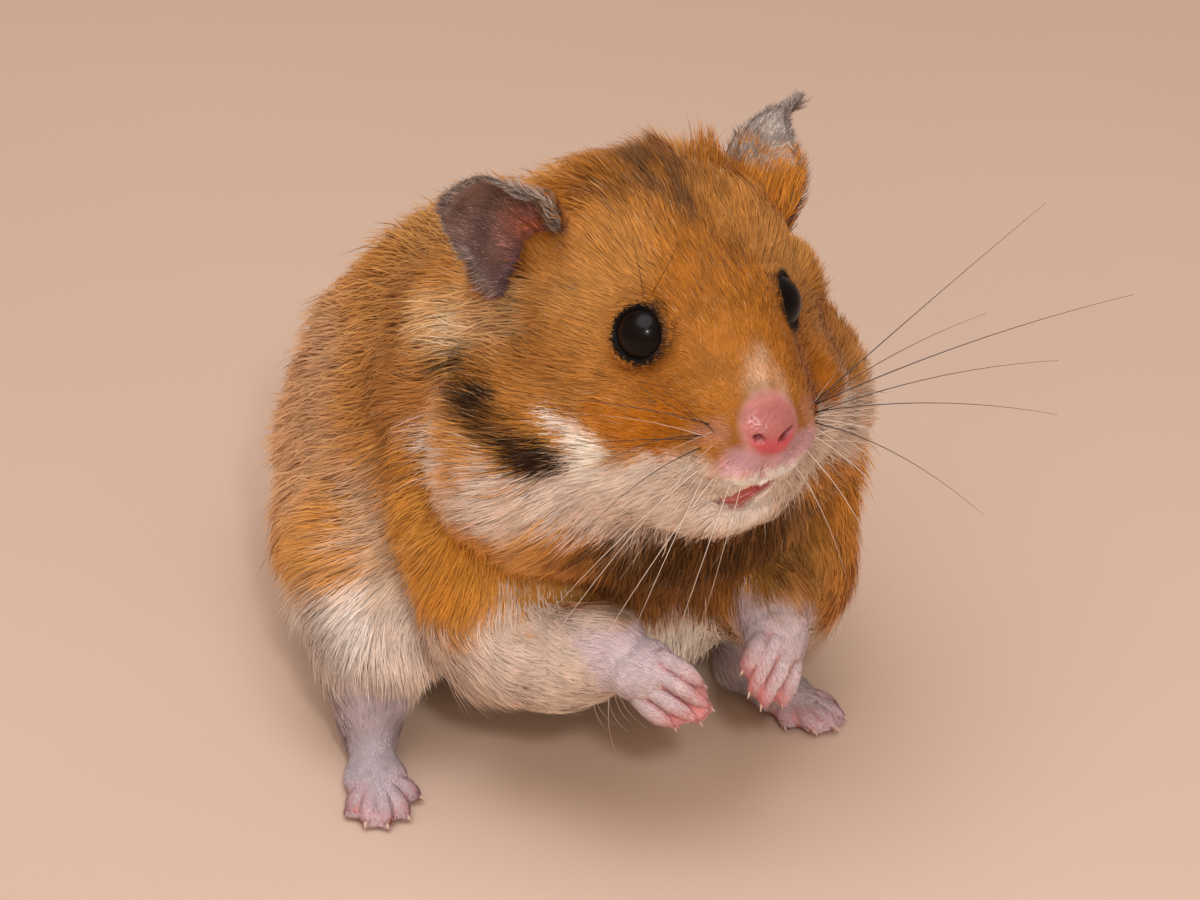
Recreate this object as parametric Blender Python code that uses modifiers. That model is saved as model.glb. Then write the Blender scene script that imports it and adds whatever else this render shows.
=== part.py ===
"""A Syrian hamster as a still, life-size model: it sits on its rump, both forepaws off the floor.

Metres, +Z up, the floor at z = 0. The animal faces -Y and its own left is +X.
One whole flesh form is fused from named masses, smoothed, and then parted with thin cuts.
Places and sizes below are in millimetres, in the animal's own frame, with the nose near (0, -49, 53).
At the end everything moves so that the middle of the model's box stands over the origin.
"""

import math

import bmesh
import bpy
from mathutils import Matrix, Vector

MM = 0.001

# ---------------------------------------------------------------- driving sizes, in millimetres
GAP = 0.35                       # clear space left by each cut
VOXEL = 0.62                     # grain of the fused form
SMOOTH_PASSES = 70               # rounds of smoothing that melt the masses together
FLESH_TRIANGLES = 3900           # what the fused form is thinned to
EYE_PLACE = (7.8, -35.9, 61.3)   # the left eye in the head's own straight frame, the right one mirrored
EYE_RADIUS = 3.05
EAR_THICKNESS = 0.85
HEAD_YAW = 4.4                   # degrees that the head turns to its left, about the nose
NOSE = (0.3, -48.0, 53.0)

LEFT, RIGHT = 1, -1
SIDES = ((LEFT, "left"), (RIGHT, "right"))


def millimetres(place):
    return Vector(place) * MM


HEAD_TURN = (
    Matrix.Translation(millimetres(NOSE))
    @ Matrix.Rotation(math.radians(HEAD_YAW), 4, "Z")
    @ Matrix.Translation(-millimetres((0, *NOSE[1:])))
)

# ---------------------------------------------------------------- the scene and its collections
for old in list(bpy.data.objects):
    bpy.data.objects.remove(old)


def new_collection(name):
    made = bpy.data.collections.new(name)
    bpy.context.scene.collection.children.link(made)
    return made


PARTS = new_collection("syrian_hamster")
CUTTERS = new_collection("cutters")
CUTTERS.hide_render = True


def principled(name, colour, roughness):
    made = bpy.data.materials.new(name)
    made.use_nodes = True
    shader = made.node_tree.nodes["Principled BSDF"]
    shader.inputs["Base Color"].default_value = (*colour, 1.0)
    shader.inputs["Roughness"].default_value = roughness
    shader.inputs["Metallic"].default_value = 0.0
    made.diffuse_color = (*colour, 1.0)
    return made


GOLDEN_COAT = principled("golden_coat", (0.55, 0.27, 0.08), 0.85)
WHITE_COAT = principled("white_coat", (0.78, 0.66, 0.54), 0.85)
EAR_SKIN = principled("ear_skin", (0.27, 0.20, 0.19), 0.70)
PINK_SKIN = principled("pink_skin", (0.80, 0.45, 0.42), 0.60)
EYE_BLACK = principled("eye_black", (0.01, 0.01, 0.01), 0.08)


# ---------------------------------------------------------------- masses that the flesh is fused from
def ellipsoid(mesh, centre, radii, pitch=0.0, yaw=0.0, rings=20):
    """A stretched ball. Pitch turns it about X and yaw about Z, in degrees."""
    turn = Matrix.Rotation(math.radians(yaw), 4, "Z") @ Matrix.Rotation(math.radians(pitch), 4, "X")
    stretch = Matrix.Diagonal((*millimetres(radii), 1))
    place = Matrix.Translation(millimetres(centre)) @ turn @ stretch
    return bmesh.ops.create_uvsphere(mesh, u_segments=rings * 2, v_segments=rings, radius=1.0, matrix=place)


def ball(mesh, centre, radius, rings=10):
    ellipsoid(mesh, centre, (radius,) * 3, rings=rings)


def tapered(mesh, start, end, start_radius, end_radius, sides=20):
    """A tapered rod with a ball at each end."""
    a, b = millimetres(start), millimetres(end)
    run = b - a
    place = Matrix.Translation((a + b) / 2) @ run.to_track_quat("Z", "Y").to_matrix().to_4x4()
    bmesh.ops.create_cone(
        mesh, cap_ends=True, segments=sides, radius1=start_radius * MM, radius2=end_radius * MM,
        depth=run.length, matrix=place,
    )
    ball(mesh, start, start_radius)
    ball(mesh, end, end_radius)


def limb(mesh, *stations):
    """A chain of tapered rods through (place, radius) stations."""
    for (start, first), (end, second) in zip(stations, stations[1:]):
        tapered(mesh, start, end, first, second)


def trunk_masses(mesh):
    ellipsoid(mesh, (-1.5, 19.5, 21.5), (26.5, 23.5, 22.8))         # rump, its underside on the floor
    ellipsoid(mesh, (-1.0, 15, 28.0), (25.0, 22.5, 21.0))           # croup, above the tail
    ellipsoid(mesh, (-0.5, 8, 28.5), (25.5, 24.5, 26.0), pitch=-20) # loins and back
    ellipsoid(mesh, (-1.0, -2, 41.0), (21.5, 19, 17.0), pitch=-20)  # withers
    ellipsoid(mesh, (-1, -8, 20.0), (23, 17, 14.5))                 # belly
    ellipsoid(mesh, (0.8, -11, 35), (24.6, 18.5, 21), pitch=-14)    # chest and shoulders


def neck_masses(mesh):
    ellipsoid(mesh, (-1.0, -12, 49), (21, 17, 15.5), pitch=-30)
    ellipsoid(mesh, (0, -23, 38), (20, 14, 12))                     # throat and bib


def head_masses(mesh):
    """Built straight, and then turned to the animal's left with the rest of the head."""
    mesh.verts.ensure_lookup_table()
    first = len(mesh.verts)
    ellipsoid(mesh, (0, -21.5, 58.6), (17.6, 16.0, 15.0), pitch=12) # braincase
    ellipsoid(mesh, (0, -33, 57.8), (10.1, 12, 10.4), pitch=32)     # brow and bridge
    ellipsoid(mesh, (0, -40.0, 53.0), (9.0, 9.4, 8.0), pitch=25)    # muzzle
    ellipsoid(mesh, (0, -46.6, 53.6), (3.4, 3.0, 3.2))              # nose
    ellipsoid(mesh, (0, -38.4, 45.2), (9.4, 8.2, 6.8))              # lower jaw
    for side, _ in SIDES:
        ellipsoid(mesh, (side * 12.7, -25, 44.3), (12.4, 13, 12.2)) # cheek pouch
        ellipsoid(mesh, (side * 9.0, -33, 49), (8.5, 8.5, 8.5))     # the pouch's front, behind the lip
        ellipsoid(mesh, (side * 4.6, -42.0, 50.4), (4.9, 4.8, 4.5)) # whisker pad
        ellipsoid(mesh, (side * 8.6, -28.0, 57.0), (7.6, 9.0, 8.2)) # cheekbone behind and below the eye
    mesh.verts.ensure_lookup_table()
    bmesh.ops.transform(mesh, matrix=HEAD_TURN, verts=mesh.verts[first:])


def foreleg_masses(mesh):
    limb(mesh, ((-16, -15, 31), 10.5), ((-17.5, -19.5, 20.0), 7.8), ((-14.6, -28.0, 20.4), 6.7),
         ((-12.4, -34.6, 24.4), 5.0))
    limb(mesh, ((17, -15, 31), 10.5), ((16.5, -20, 18.0), 8.0), ((11.8, -27.0, 20.4), 6.2),
         ((8.6, -32.0, 24.4), 4.1))


def hindleg_masses(mesh):
    ellipsoid(mesh, (-20.0, 8, 17.0), (10.5, 16, 15.0), pitch=-15)
    limb(mesh, ((-22.5, 0, 17), 10.0), ((-26.6, -6.0, 13.0), 7.4), ((-28.2, -8.4, 4.2), 3.7))
    ellipsoid(mesh, (19.0, 8, 17.0), (10.5, 16, 15.0), pitch=-15)
    limb(mesh, ((20.0, -2, 17), 10.0), ((19.0, -9.0, 12.0), 7.4), ((15.8, -13.0, 4.2), 3.7))


def tail_mass(mesh):
    limb(mesh, ((-1.5, 38, 7.5), 4.2), ((-1.0, 44.5, 5.2), 2.7), ((0.0, 50.5, 3.2), 1.5))


def paw(mesh, wrist, palm, palm_radii, digit_radius, tips, yaw=0.0):
    """A palm and its digits: each digit is a rod from inside the palm to its tip."""
    tapered(mesh, wrist, palm, palm_radii[0] * 0.85, palm_radii[2])
    ellipsoid(mesh, palm, palm_radii, yaw=yaw)
    for tip in tips:
        root = Vector(palm).lerp(Vector(tip), 0.2)
        tapered(mesh, root, tip, digit_radius * 1.15, digit_radius * 0.85, sides=12)


def forepaw_masses(mesh):
    paw(mesh, (-12.8, -35.2, 25.6), (-9.8, -39.0, 23.6), (3.9, 3.7, 3.1), 1.05,
        ((-4.9, -43.4, 22.8), (-4.3, -44.0, 20.5), (-5.6, -44.0, 19.2), (-7.9, -43.2, 18.8)))
    paw(mesh, (8.6, -32.8, 24.4), (8.0, -35.4, 21.0), (3.9, 3.1, 3.8), 1.05,
        ((3.0, -38.0, 19.8), (3.4, -38.8, 17.4), (4.8, -38.8, 15.5), (7.4, -38.2, 14.9)))


def hindfoot_masses(mesh):
    paw(mesh, (-28.0, -8.0, 2.9), (-30.4, -15.0, 1.7), (3.9, 4.9, 2.0), 1.15,
        ((-35.2, -19.0, 0.9), (-34.4, -21.8, 0.9), (-32.4, -23.0, 0.9), (-29.8, -22.4, 0.9),
         (-27.2, -19.4, 0.9)), yaw=-18)
    paw(mesh, (15.2, -12.4, 2.9), (17.8, -18.4, 1.7), (3.9, 4.9, 2.0), 1.15,
        ((22.6, -22.0, 0.9), (22.2, -24.6, 0.9), (20.4, -26.2, 0.9), (18.0, -25.8, 0.9),
         (15.6, -23.4, 0.9)), yaw=28)


# ---------------------------------------------------------------- fusing, smoothing and thinning
def object_from(mesh, name, collection=CUTTERS):
    data = bpy.data.meshes.new(name)
    mesh.to_mesh(data)
    mesh.free()
    made = bpy.data.objects.new(name, data)
    collection.objects.link(made)
    if collection == CUTTERS:
        made.hide_render = True
        made.display_type = "WIRE"
    return made


def frozen(made):
    """Puts the object's evaluated mesh in place of its mesh and modifiers."""
    graph = bpy.context.evaluated_depsgraph_get()
    data = bpy.data.meshes.new_from_object(made.evaluated_get(graph))
    made.modifiers.clear()
    made.data = data
    return made


# Places where the smoothing is held back, so that small features stay crisp: (place, reach, softness kept).
FINE_PLACES = (
    ((0, -46, 53), 11, 0.10),        # nose and lips
    ((-7.5, -41, 21), 12, 0.03),     # right forepaw
    ((8, -36, 18), 12, 0.03),        # left forepaw
    ((-31, -15, 1), 14, 0.03),       # right hind foot
    ((18.4, -18, 1), 14, 0.03),      # left hind foot
    ((0, 50, 3), 9, 0.15),           # tail tip
)


def softness(place):
    """1 on the broad forms, falling to each fine place's own softness near it."""
    soft = 1.0
    for centre, reach, least in FINE_PLACES:
        near = (place - Vector(centre)).length / reach
        eased = min(max((near - 0.5) / 0.5, 0.0), 1.0)
        soft = min(soft, least + (1 - least) * eased)
    return soft


def soft_group(made):
    """A vertex group that tells the smoothing how strongly to work at each vertex."""
    group = made.vertex_groups.new(name="soft")
    for vertex in made.data.vertices:
        group.add([vertex.index], softness(vertex.co / MM), "REPLACE")
    return group.name


def build_flesh():
    lumps = bmesh.new()
    for add in (trunk_masses, neck_masses, head_masses, foreleg_masses, hindleg_masses, tail_mass,
                forepaw_masses, hindfoot_masses):
        add(lumps)
    made = object_from(lumps, "flesh")
    fuse = made.modifiers.new("fuse", "REMESH")
    fuse.mode = "VOXEL"
    fuse.voxel_size = VOXEL * MM
    frozen(made)
    melt = made.modifiers.new("melt", "SMOOTH")
    melt.factor = 0.8
    melt.iterations = SMOOTH_PASSES
    melt.vertex_group = soft_group(made)
    frozen(made)
    thin = made.modifiers.new("thin", "DECIMATE")
    thin.ratio = FLESH_TRIANGLES / (2 * len(made.data.polygons))
    return frozen(made)


# ---------------------------------------------------------------- cuts
def cut(made, cutter, operation):
    """Works one exact Boolean on the object and drops the cutter."""
    blade = made.modifiers.new("cut", "BOOLEAN")
    blade.solver = "EXACT"
    blade.operation = operation
    blade.object = cutter
    frozen(made)
    bpy.data.objects.remove(cutter)
    return made


def region(stations, grow=0.0):
    """The hull of one or more (centre, radii) ellipsoids, each grown by the same clear space."""
    mesh = bmesh.new()
    for centre, radii in stations:
        ellipsoid(mesh, centre, [r + grow for r in radii], rings=6)
    hull = bmesh.ops.convex_hull(mesh, input=mesh.verts)
    loose = [item for item in hull["geom_interior"] if isinstance(item, bmesh.types.BMVert)]
    bmesh.ops.delete(mesh, geom=loose, context="VERTS")
    bmesh.ops.delete(mesh, geom=[f for f in mesh.faces if f not in set(hull["geom"])], context="FACES_ONLY")
    bmesh.ops.recalc_face_normals(mesh, faces=mesh.faces)
    return object_from(mesh, "region")


def part_off(rest, name, stations, material):
    """Takes the region out of the rest as a part of its own, with a clear cut between the two."""
    part = rest.copy()
    part.data = rest.data.copy()
    part.name = name
    CUTTERS.objects.link(part)
    cut(part, region(stations), "INTERSECT")
    cut(rest, region(stations, GAP), "DIFFERENCE")
    return into_parts(part, name, material)


def into_parts(made, name, material):
    for collection in list(made.users_collection):
        collection.objects.unlink(made)
    PARTS.objects.link(made)
    made.name = name
    made.hide_render = False
    made.display_type = "TEXTURED"
    made.data.materials.clear()
    made.data.materials.append(material)
    return made


def round_region(centre, radius):
    return ((centre, (radius,) * 3),)


REGIONS = (
    ("head", (((-1.5, -28.0, 56), (30, 24, 23)),), GOLDEN_COAT),
    ("neck", (((-1.5, -22, 55), (36, 30, 30)),), GOLDEN_COAT),
    ("forepaw_right", round_region((-7.3, -41.4, 21.0), 8.2), PINK_SKIN),
    ("forepaw_left", (((8.0, -36.6, 20.6), (5.2, 5.2, 5.2)), ((7.6, -38.2, 14.8), (6, 6, 6)),
                      ((4.2, -39.6, 19.6), (4.0, 3.6, 4.0))), PINK_SKIN),
    ("foreleg_right", (((-21, -16, 33), (11, 11, 11)), ((-20, -20, 14), (10, 10, 10)),
                       ((-12.6, -36, 25.6), (6.4, 6.4, 6.4))), GOLDEN_COAT),
    ("foreleg_left", (((21, -16, 33), (11, 11, 11)), ((19, -20, 14), (10, 10, 10)),
                      ((9.0, -33.4, 25.0), (6.4, 6.4, 6.4))), GOLDEN_COAT),
    ("hindfoot_right", (((-31, -15.5, 0.6), (9, 11.5, 4.6)),), PINK_SKIN),
    ("hindfoot_left", (((19.4, -20.0, 0.6), (10, 10.5, 4.6)),), PINK_SKIN),
    ("hindleg_right", (((-30, 4, 14), (13.5, 20, 18)), ((-28, -8, 6), (8, 8, 7))), WHITE_COAT),
    ("hindleg_left", (((28.6, 3, 14), (13.5, 20, 18)), ((16, -12.5, 6), (9, 8, 7.5))), WHITE_COAT),
    ("tail", round_region((-1.0, 50.5, 3.5), 9.0), PINK_SKIN),
)


def floor_slab():
    """A block whose top face is the floor, which leaves small flats on the rump and the soles."""
    mesh = bmesh.new()
    size = 200 * MM
    bmesh.ops.create_cube(mesh, size=size, matrix=Matrix.Translation((0, 0, -size / 2)))
    return object_from(mesh, "floor")


flesh = build_flesh()
grown_flesh = flesh.copy()
grown_flesh.data = flesh.data.copy()
CUTTERS.objects.link(grown_flesh)
swell = grown_flesh.modifiers.new("swell", "DISPLACE")
swell.strength = GAP * MM
swell.mid_level = 0.0
frozen(grown_flesh)
cut(flesh, floor_slab(), "DIFFERENCE")
for name, stations, material in REGIONS:
    part_off(flesh, name, stations, material)
into_parts(flesh, "trunk", GOLDEN_COAT)
head = bpy.data.objects["head"]
part_off(head, "nose", (((0.3, -48.4, 53.8), (3.6, 3.2, 3.0)),), PINK_SKIN)
part_off(head, "lower_jaw", (((0, -40, 39.6), (8, 8.5, 6.6)),), WHITE_COAT)


# ---------------------------------------------------------------- eyes
def eye(side, word):
    x, y, z = EYE_PLACE
    centre = HEAD_TURN @ millimetres((side * x, y, z)) / MM
    mesh = bmesh.new()
    ball(mesh, centre, EYE_RADIUS, rings=7)
    object_from(mesh, "eye_" + word, PARTS).data.materials.append(EYE_BLACK)
    socket = bmesh.new()
    ball(socket, centre, EYE_RADIUS + GAP, rings=7)
    cut(head, object_from(socket, "socket"), "DIFFERENCE")


for side, word in SIDES:
    eye(side, word)


# ---------------------------------------------------------------- ears
def ear(name, root, axis, facing, length, half_width, cup, taper, curl):
    """A cupped leaf from its root, which lies inside the head, along axis, open towards facing.

    Taper narrows it towards the tip, and curl bends the tip towards the open side.
    The wall stops a clear cut short of the head.
    """
    mesh = bmesh.new()
    bmesh.ops.create_grid(mesh, x_segments=8, y_segments=8, size=1.0)
    along = Vector(axis).normalized()
    across = along.cross(Vector(facing)).normalized()
    open_way = across.cross(along)
    for vertex in mesh.verts:
        x, y = vertex.co.x, vertex.co.y
        p, q = x * math.sqrt(1 - y * y / 2), y * math.sqrt(1 - x * x / 2)   # the square mapped to a disc
        width = half_width * (1 - taper * q)
        rise = length * (q + 1) / 2
        depth = cup * (p * p + 0.35 * q * q) + curl * max(q, 0) ** 2
        vertex.co = millimetres(root) + (across * (p * width) + along * rise + open_way * depth) * MM
    made = object_from(mesh, name, PARTS)
    wall = made.modifiers.new("wall", "SOLIDIFY")
    wall.thickness = EAR_THICKNESS * MM
    wall.offset = 0.0
    made.data.materials.append(EAR_SKIN)
    return cut(made, grown_flesh.copy(), "DIFFERENCE")


ear("ear_right", (-10.0, -19.5, 66.2), (-0.86, 0.02, 0.46), (-0.24, -0.92, -0.30),
    length=14.6, half_width=7.2, cup=3.8, taper=0.24, curl=0.0)
ear("ear_left", (9.8, -19.5, 63.5), (0.44, 0.40, 0.79), (0.88, -0.10, -0.46),
    length=15.2, half_width=5.6, cup=3.0, taper=0.42, curl=3.4)


# ---------------------------------------------------------------- the model's place over the origin
def stand_over_origin(objects):
    """Moves every part by one step: the box's middle over the origin, its base at z = 0."""
    corners = [vertex.co for made in objects for vertex in made.data.vertices]
    lowest = Vector(min(corner[axis] for corner in corners) for axis in range(3))
    highest = Vector(max(corner[axis] for corner in corners) for axis in range(3))
    step = Vector((-(lowest.x + highest.x) / 2, -(lowest.y + highest.y) / 2, -lowest.z))
    for made in objects:
        made.data.transform(Matrix.Translation(step))
    print("moved by", [round(value / MM, 3) for value in step], "mm")
    print("box", [round(value / MM, 2) for value in highest - lowest], "mm")


stand_over_origin(list(PARTS.objects))
bpy.data.objects.remove(grown_flesh)
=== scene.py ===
# %% [markdown]
# # A golden hamster, life size
# A still model such as a museum shows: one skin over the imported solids, a coat of many thin tufts that follow
# the lie of the fur, and separate eyes, claws and whiskers. The model never moves, so every piece rides on the
# one body, "root". Lengths below are in millimetres unless a name says otherwise. The animal faces -Y, its own
# left is +X and the floor is at zero.

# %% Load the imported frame
import math

import bmesh
import bpy
import numpy as np
from mathutils import Matrix, Vector


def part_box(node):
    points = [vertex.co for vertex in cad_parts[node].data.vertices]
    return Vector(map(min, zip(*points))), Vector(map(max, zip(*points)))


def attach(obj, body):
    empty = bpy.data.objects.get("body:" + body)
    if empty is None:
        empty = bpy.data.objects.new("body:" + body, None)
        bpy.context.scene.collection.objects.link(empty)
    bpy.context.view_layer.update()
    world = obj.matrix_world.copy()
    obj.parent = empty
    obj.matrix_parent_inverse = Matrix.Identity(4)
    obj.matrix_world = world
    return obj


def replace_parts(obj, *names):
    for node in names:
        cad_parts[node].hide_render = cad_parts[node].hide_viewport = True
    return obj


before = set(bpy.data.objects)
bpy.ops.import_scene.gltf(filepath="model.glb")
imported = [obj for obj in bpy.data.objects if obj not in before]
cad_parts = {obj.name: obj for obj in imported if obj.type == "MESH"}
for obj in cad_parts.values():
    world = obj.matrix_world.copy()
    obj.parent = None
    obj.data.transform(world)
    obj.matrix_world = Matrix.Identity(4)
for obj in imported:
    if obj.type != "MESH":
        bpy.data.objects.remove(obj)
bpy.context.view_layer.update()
MM = 0.001

# %% [markdown]
# ## Small helpers
# Colours are written as sRGB hex values, as a paint chart gives them, and one function turns them to the linear
# values that the renderer adds up. One other function adds a shader node with its settings and its links, and the
# few after it put patterns, mixes and surfaces together with it.

# %% Colour and node helpers
def linear(hex_colour):
    """The linear red, green and blue of a colour such as "#C8823C"."""
    values = [int(hex_colour[start:start + 2], 16) / 255 for start in (1, 3, 5)]
    return np.array([v / 12.92 if v <= 0.04045 else ((v + 0.055) / 1.055) ** 2.4 for v in values])


def rgba(hex_colour):
    return (*linear(hex_colour), 1.0)


def add_node(material, kind, links=(), settings=(), **inputs):
    """Adds one node. Settings are its own fields, inputs its sockets' values, links (its socket, node, output)."""
    node = material.node_tree.nodes.new(kind)
    for field, value in dict(settings).items():
        setattr(node, field, value)
    for socket, value in inputs.items():
        node.inputs[socket.replace("_", " ")].default_value = value
    for socket, source, output in links:
        material.node_tree.links.new(source.outputs[output], node.inputs[socket])
    return node


def new_material(name):
    material = bpy.data.materials.new(name)
    material.use_nodes = True
    material.node_tree.nodes.clear()
    return material


def pattern(material, kind, settings=(), **inputs):
    """A noise or cell pattern laid out in the model's own space."""
    where = add_node(material, "ShaderNodeTexCoord")
    return add_node(material, kind, [("Vector", where, "Object")], settings, **inputs)


def two_tones(material, scale, detail, first_hex, second_hex):
    """A cloudy mix of two colours."""
    clouds = pattern(material, "ShaderNodeTexNoise", Scale=scale, Detail=detail)
    mix = add_node(material, "ShaderNodeMix", [("Factor", clouds, "Fac")], {"data_type": "RGBA"})
    mix.inputs[6].default_value, mix.inputs[7].default_value = rgba(first_hex), rgba(second_hex)
    return mix


def painted(material, scale, detail, darkest, brightest):
    """The colour stored at each vertex, made darker and brighter in clumps."""
    colour = add_node(material, "ShaderNodeVertexColor", settings={"layer_name": "coat_colour"})
    clumps = pattern(material, "ShaderNodeTexNoise", Scale=scale, Detail=detail)
    share = add_node(material, "ShaderNodeMapRange", [("Value", clumps, "Fac")],
                     From_Min=0.3, From_Max=0.7, To_Min=darkest, To_Max=brightest)
    return add_node(material, "ShaderNodeVectorMath", [("Vector", colour, "Color"), ("Scale", share, "Result")],
                    {"operation": "SCALE"})


def surfaced(material, links, **inputs):
    """Gives the material its one surface."""
    surface = add_node(material, "ShaderNodeBsdfPrincipled", links, **inputs)
    add_node(material, "ShaderNodeOutputMaterial", [("Surface", surface, "BSDF")])
    return material


print("a coat's gold in linear light:", linear("#DAA058").round(3))


# %% [markdown]
# Long lists of points are handled as NumPy arrays. `ripple` is a smooth, wandering number between about -1 and
# 1 at any place, made from a few waves in fixed directions: it breaks up straight edges in the markings and
# bends the lie of the coat, and it is the same on every run. The last few helpers read and write meshes, and put
# finished pieces in the scene.

# %% Array and mesh helpers
def unit(vectors):
    vectors = np.asarray(vectors, float)
    return vectors / np.maximum(np.linalg.norm(vectors, axis=-1, keepdims=True), 1e-9)


def dot(first, second):
    return (first * second).sum(-1)


def eased(amount):
    amount = np.clip(amount, 0.0, 1.0)
    return amount * amount * (3 - 2 * amount)


def apart(points, place):
    """How far each point is from the place."""
    return np.linalg.norm(points - np.array(place), axis=1)


def near(points, middles, reach):
    """1 at any of the middles, falling to 0 at the reach."""
    found = np.zeros(len(points))
    for middle in middles:
        found = np.maximum(found, eased(1.0 - apart(points, middle) / reach))
    return found


WAVES = 7


def ripple(points, size, seed):
    chance = np.random.default_rng(seed)
    ways = unit(chance.normal(size=(WAVES, 3))) * (2 * np.pi / size) * chance.uniform(0.6, 1.5, (WAVES, 1))
    phases = chance.uniform(0, 2 * np.pi, WAVES)
    return np.sin(points @ ways.T + phases).sum(1) / math.sqrt(WAVES * 0.9)


def read(rows, field, size, kind=float):
    """One field of a mesh's vertices, loops or triangles, as an array with that many values in a row."""
    values = np.empty(len(rows) * size, kind)
    rows.foreach_get(field, values)
    return values.reshape(-1, size) if size > 1 else values


def places_of(mesh):
    return read(mesh.vertices, "co", 3) / MM


def put_places(mesh, points):
    mesh.vertices.foreach_set("co", (points * MM).ravel())
    mesh.update()


def placed(name, data):
    """A new object in the scene, at the origin and unturned."""
    made = bpy.data.objects.new(name, data)
    bpy.context.scene.collection.objects.link(made)
    return made


def mesh_of(made, name):
    """A smooth mesh of a shape made in a bmesh, its faces pointing outwards."""
    bmesh.ops.recalc_face_normals(made, faces=made.faces)
    for face in made.faces:
        face.smooth = True
    data = bpy.data.meshes.new(name)
    made.to_mesh(data)
    made.free()
    return data


def shown(name, data, material):
    """A visible piece of the model with its finish, riding on the one body."""
    made = placed(name, data)
    data.materials.append(material)
    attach(made, "root")
    return made


print("ripple at three places:", ripple(np.eye(3), 1.0, 5).round(2))


# %% [markdown]
# Places on the head are given in the head's own frame: x towards its left, y towards its back, z up, from the
# point midway between the eyes. The head is turned a little, and this frame turns with it. Places on the body
# are given from the body's midline, and those of ears and limbs in the model's own frame.

# %% Where things are
def centre_of(node):
    low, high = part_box(node)
    return np.array((low + high) / 2) / MM


EYES = {"left": centre_of("eye_left"), "right": centre_of("eye_right")}
EYE_RADIUS = (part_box("eye_left")[1].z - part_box("eye_left")[0].z) / 2 / MM
HEAD_MIDDLE = (EYES["left"] + EYES["right"]) / 2
HEAD_X = unit(EYES["left"] - EYES["right"])
HEAD_Z = np.array((0.0, 0.0, 1.0))
HEAD_Y = np.cross(HEAD_Z, HEAD_X)
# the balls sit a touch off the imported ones, where the lids close round them
EYES["right"] = EYES["right"] + (0.2, 0.0, 0.45)
EYES["left"] = EYES["left"] + (-0.35, 0.0, 0.1)
MIDLINE = 2.4
FORE_TIPS = {
    "right": ((-1.6, -44.6, 22.9), (-1.0, -45.2, 20.4), (-2.3, -45.2, 19.1), (-4.7, -44.3, 18.7)),
    "left": ((6.2, -39.1, 19.6), (6.6, -39.9, 17.3), (8.0, -39.9, 15.4), (10.7, -39.3, 14.7)),
}
KNUCKLES = {
    "right": ((-4.9, -42.4, 26.2), (-6.0, -43.0, 24.8), (-7.2, -42.9, 23.0), (-8.2, -42.2, 21.4)),
    "left": ((8.6, -38.2, 22.9), (10.0, -39.0, 23.0), (11.8, -38.9, 21.2), (13.0, -38.3, 18.4)),
}
PALMS = {"right": (-6.5, -40.1, 23.6), "left": (11.3, -36.5, 21.0)}
HIND_TIPS = {
    "right": ((-31.9, -20.1, 0.9), (-31.1, -22.9, 0.9), (-29.1, -24.1, 0.9), (-26.5, -23.5, 0.9), (-23.9, -20.5, 0.9)),
    "left": ((25.9, -23.1, 0.9), (25.5, -25.7, 0.9), (23.7, -27.3, 0.9), (21.3, -26.9, 0.9), (18.9, -24.5, 0.9)),
}
SOLES = {"right": (-27.1, -16.1, 1.7), "left": (21.1, -19.5, 1.7)}
TAIL = [(2.6, 48, 4.5)]


def on_head(place):
    return HEAD_MIDDLE + HEAD_X * place[0] + HEAD_Y * place[1] + HEAD_Z * place[2]


def head_way(way):
    return HEAD_X * way[0] + HEAD_Y * way[1] + HEAD_Z * way[2]


def in_head(points):
    away = points - HEAD_MIDDLE
    return np.stack([away @ HEAD_X, away @ HEAD_Y, away @ HEAD_Z], 1)


def on_body(place):
    return np.array((MIDLINE + place[0], place[1], place[2]))


print("eyes", EYES, "radius", round(EYE_RADIUS, 2))

# %% [markdown]
# ## Camera, light and floor
# The animal sits on a plain pale floor. A big soft panel overhead gives the coat its form without hard shadows,
# a second panel opens the shaded side, and a small lamp puts the bright point in the eyes. The eyes also mirror
# the overhead panel, which is slightly blue, as a window is.

# %% Camera
AIM = Vector((3.279, -9.102, 32.0)) * MM
DISTANCE, AROUND, ABOVE = 0.52, math.radians(-25), math.radians(29)
BACK = Vector((math.sin(AROUND) * math.cos(ABOVE), -math.cos(AROUND) * math.cos(ABOVE), math.sin(ABOVE)))
camera_data = bpy.data.cameras.new("camera")
camera_data.lens, camera_data.sensor_width = 141.96, 36.0
camera_data.clip_start, camera_data.clip_end = 0.02, 20.0
camera = placed("camera", camera_data)
camera.location = AIM + BACK * DISTANCE
camera.rotation_euler = BACK.to_track_quat("Z", "Y").to_euler()
bpy.context.scene.camera = camera
bpy.context.scene.view_settings.view_transform = "Standard"
print("camera at", [round(value, 3) for value in camera.location])


# %% Lights and the room's own light
def panel(name, place, aim, size, power, colour, mirrored=True):
    """A round soft box at a place in metres, turned to face the aim, and seen or not in wet surfaces."""
    data = bpy.data.lights.new(name, "AREA")
    data.shape = "DISK"
    data.size, data.energy, data.color = size, power, linear(colour)
    lamp = placed(name, data)
    lamp.location = place
    lamp.rotation_euler = (Vector(place) - Vector(aim)).to_track_quat("Z", "Y").to_euler()
    lamp.visible_glossy = mirrored


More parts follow.
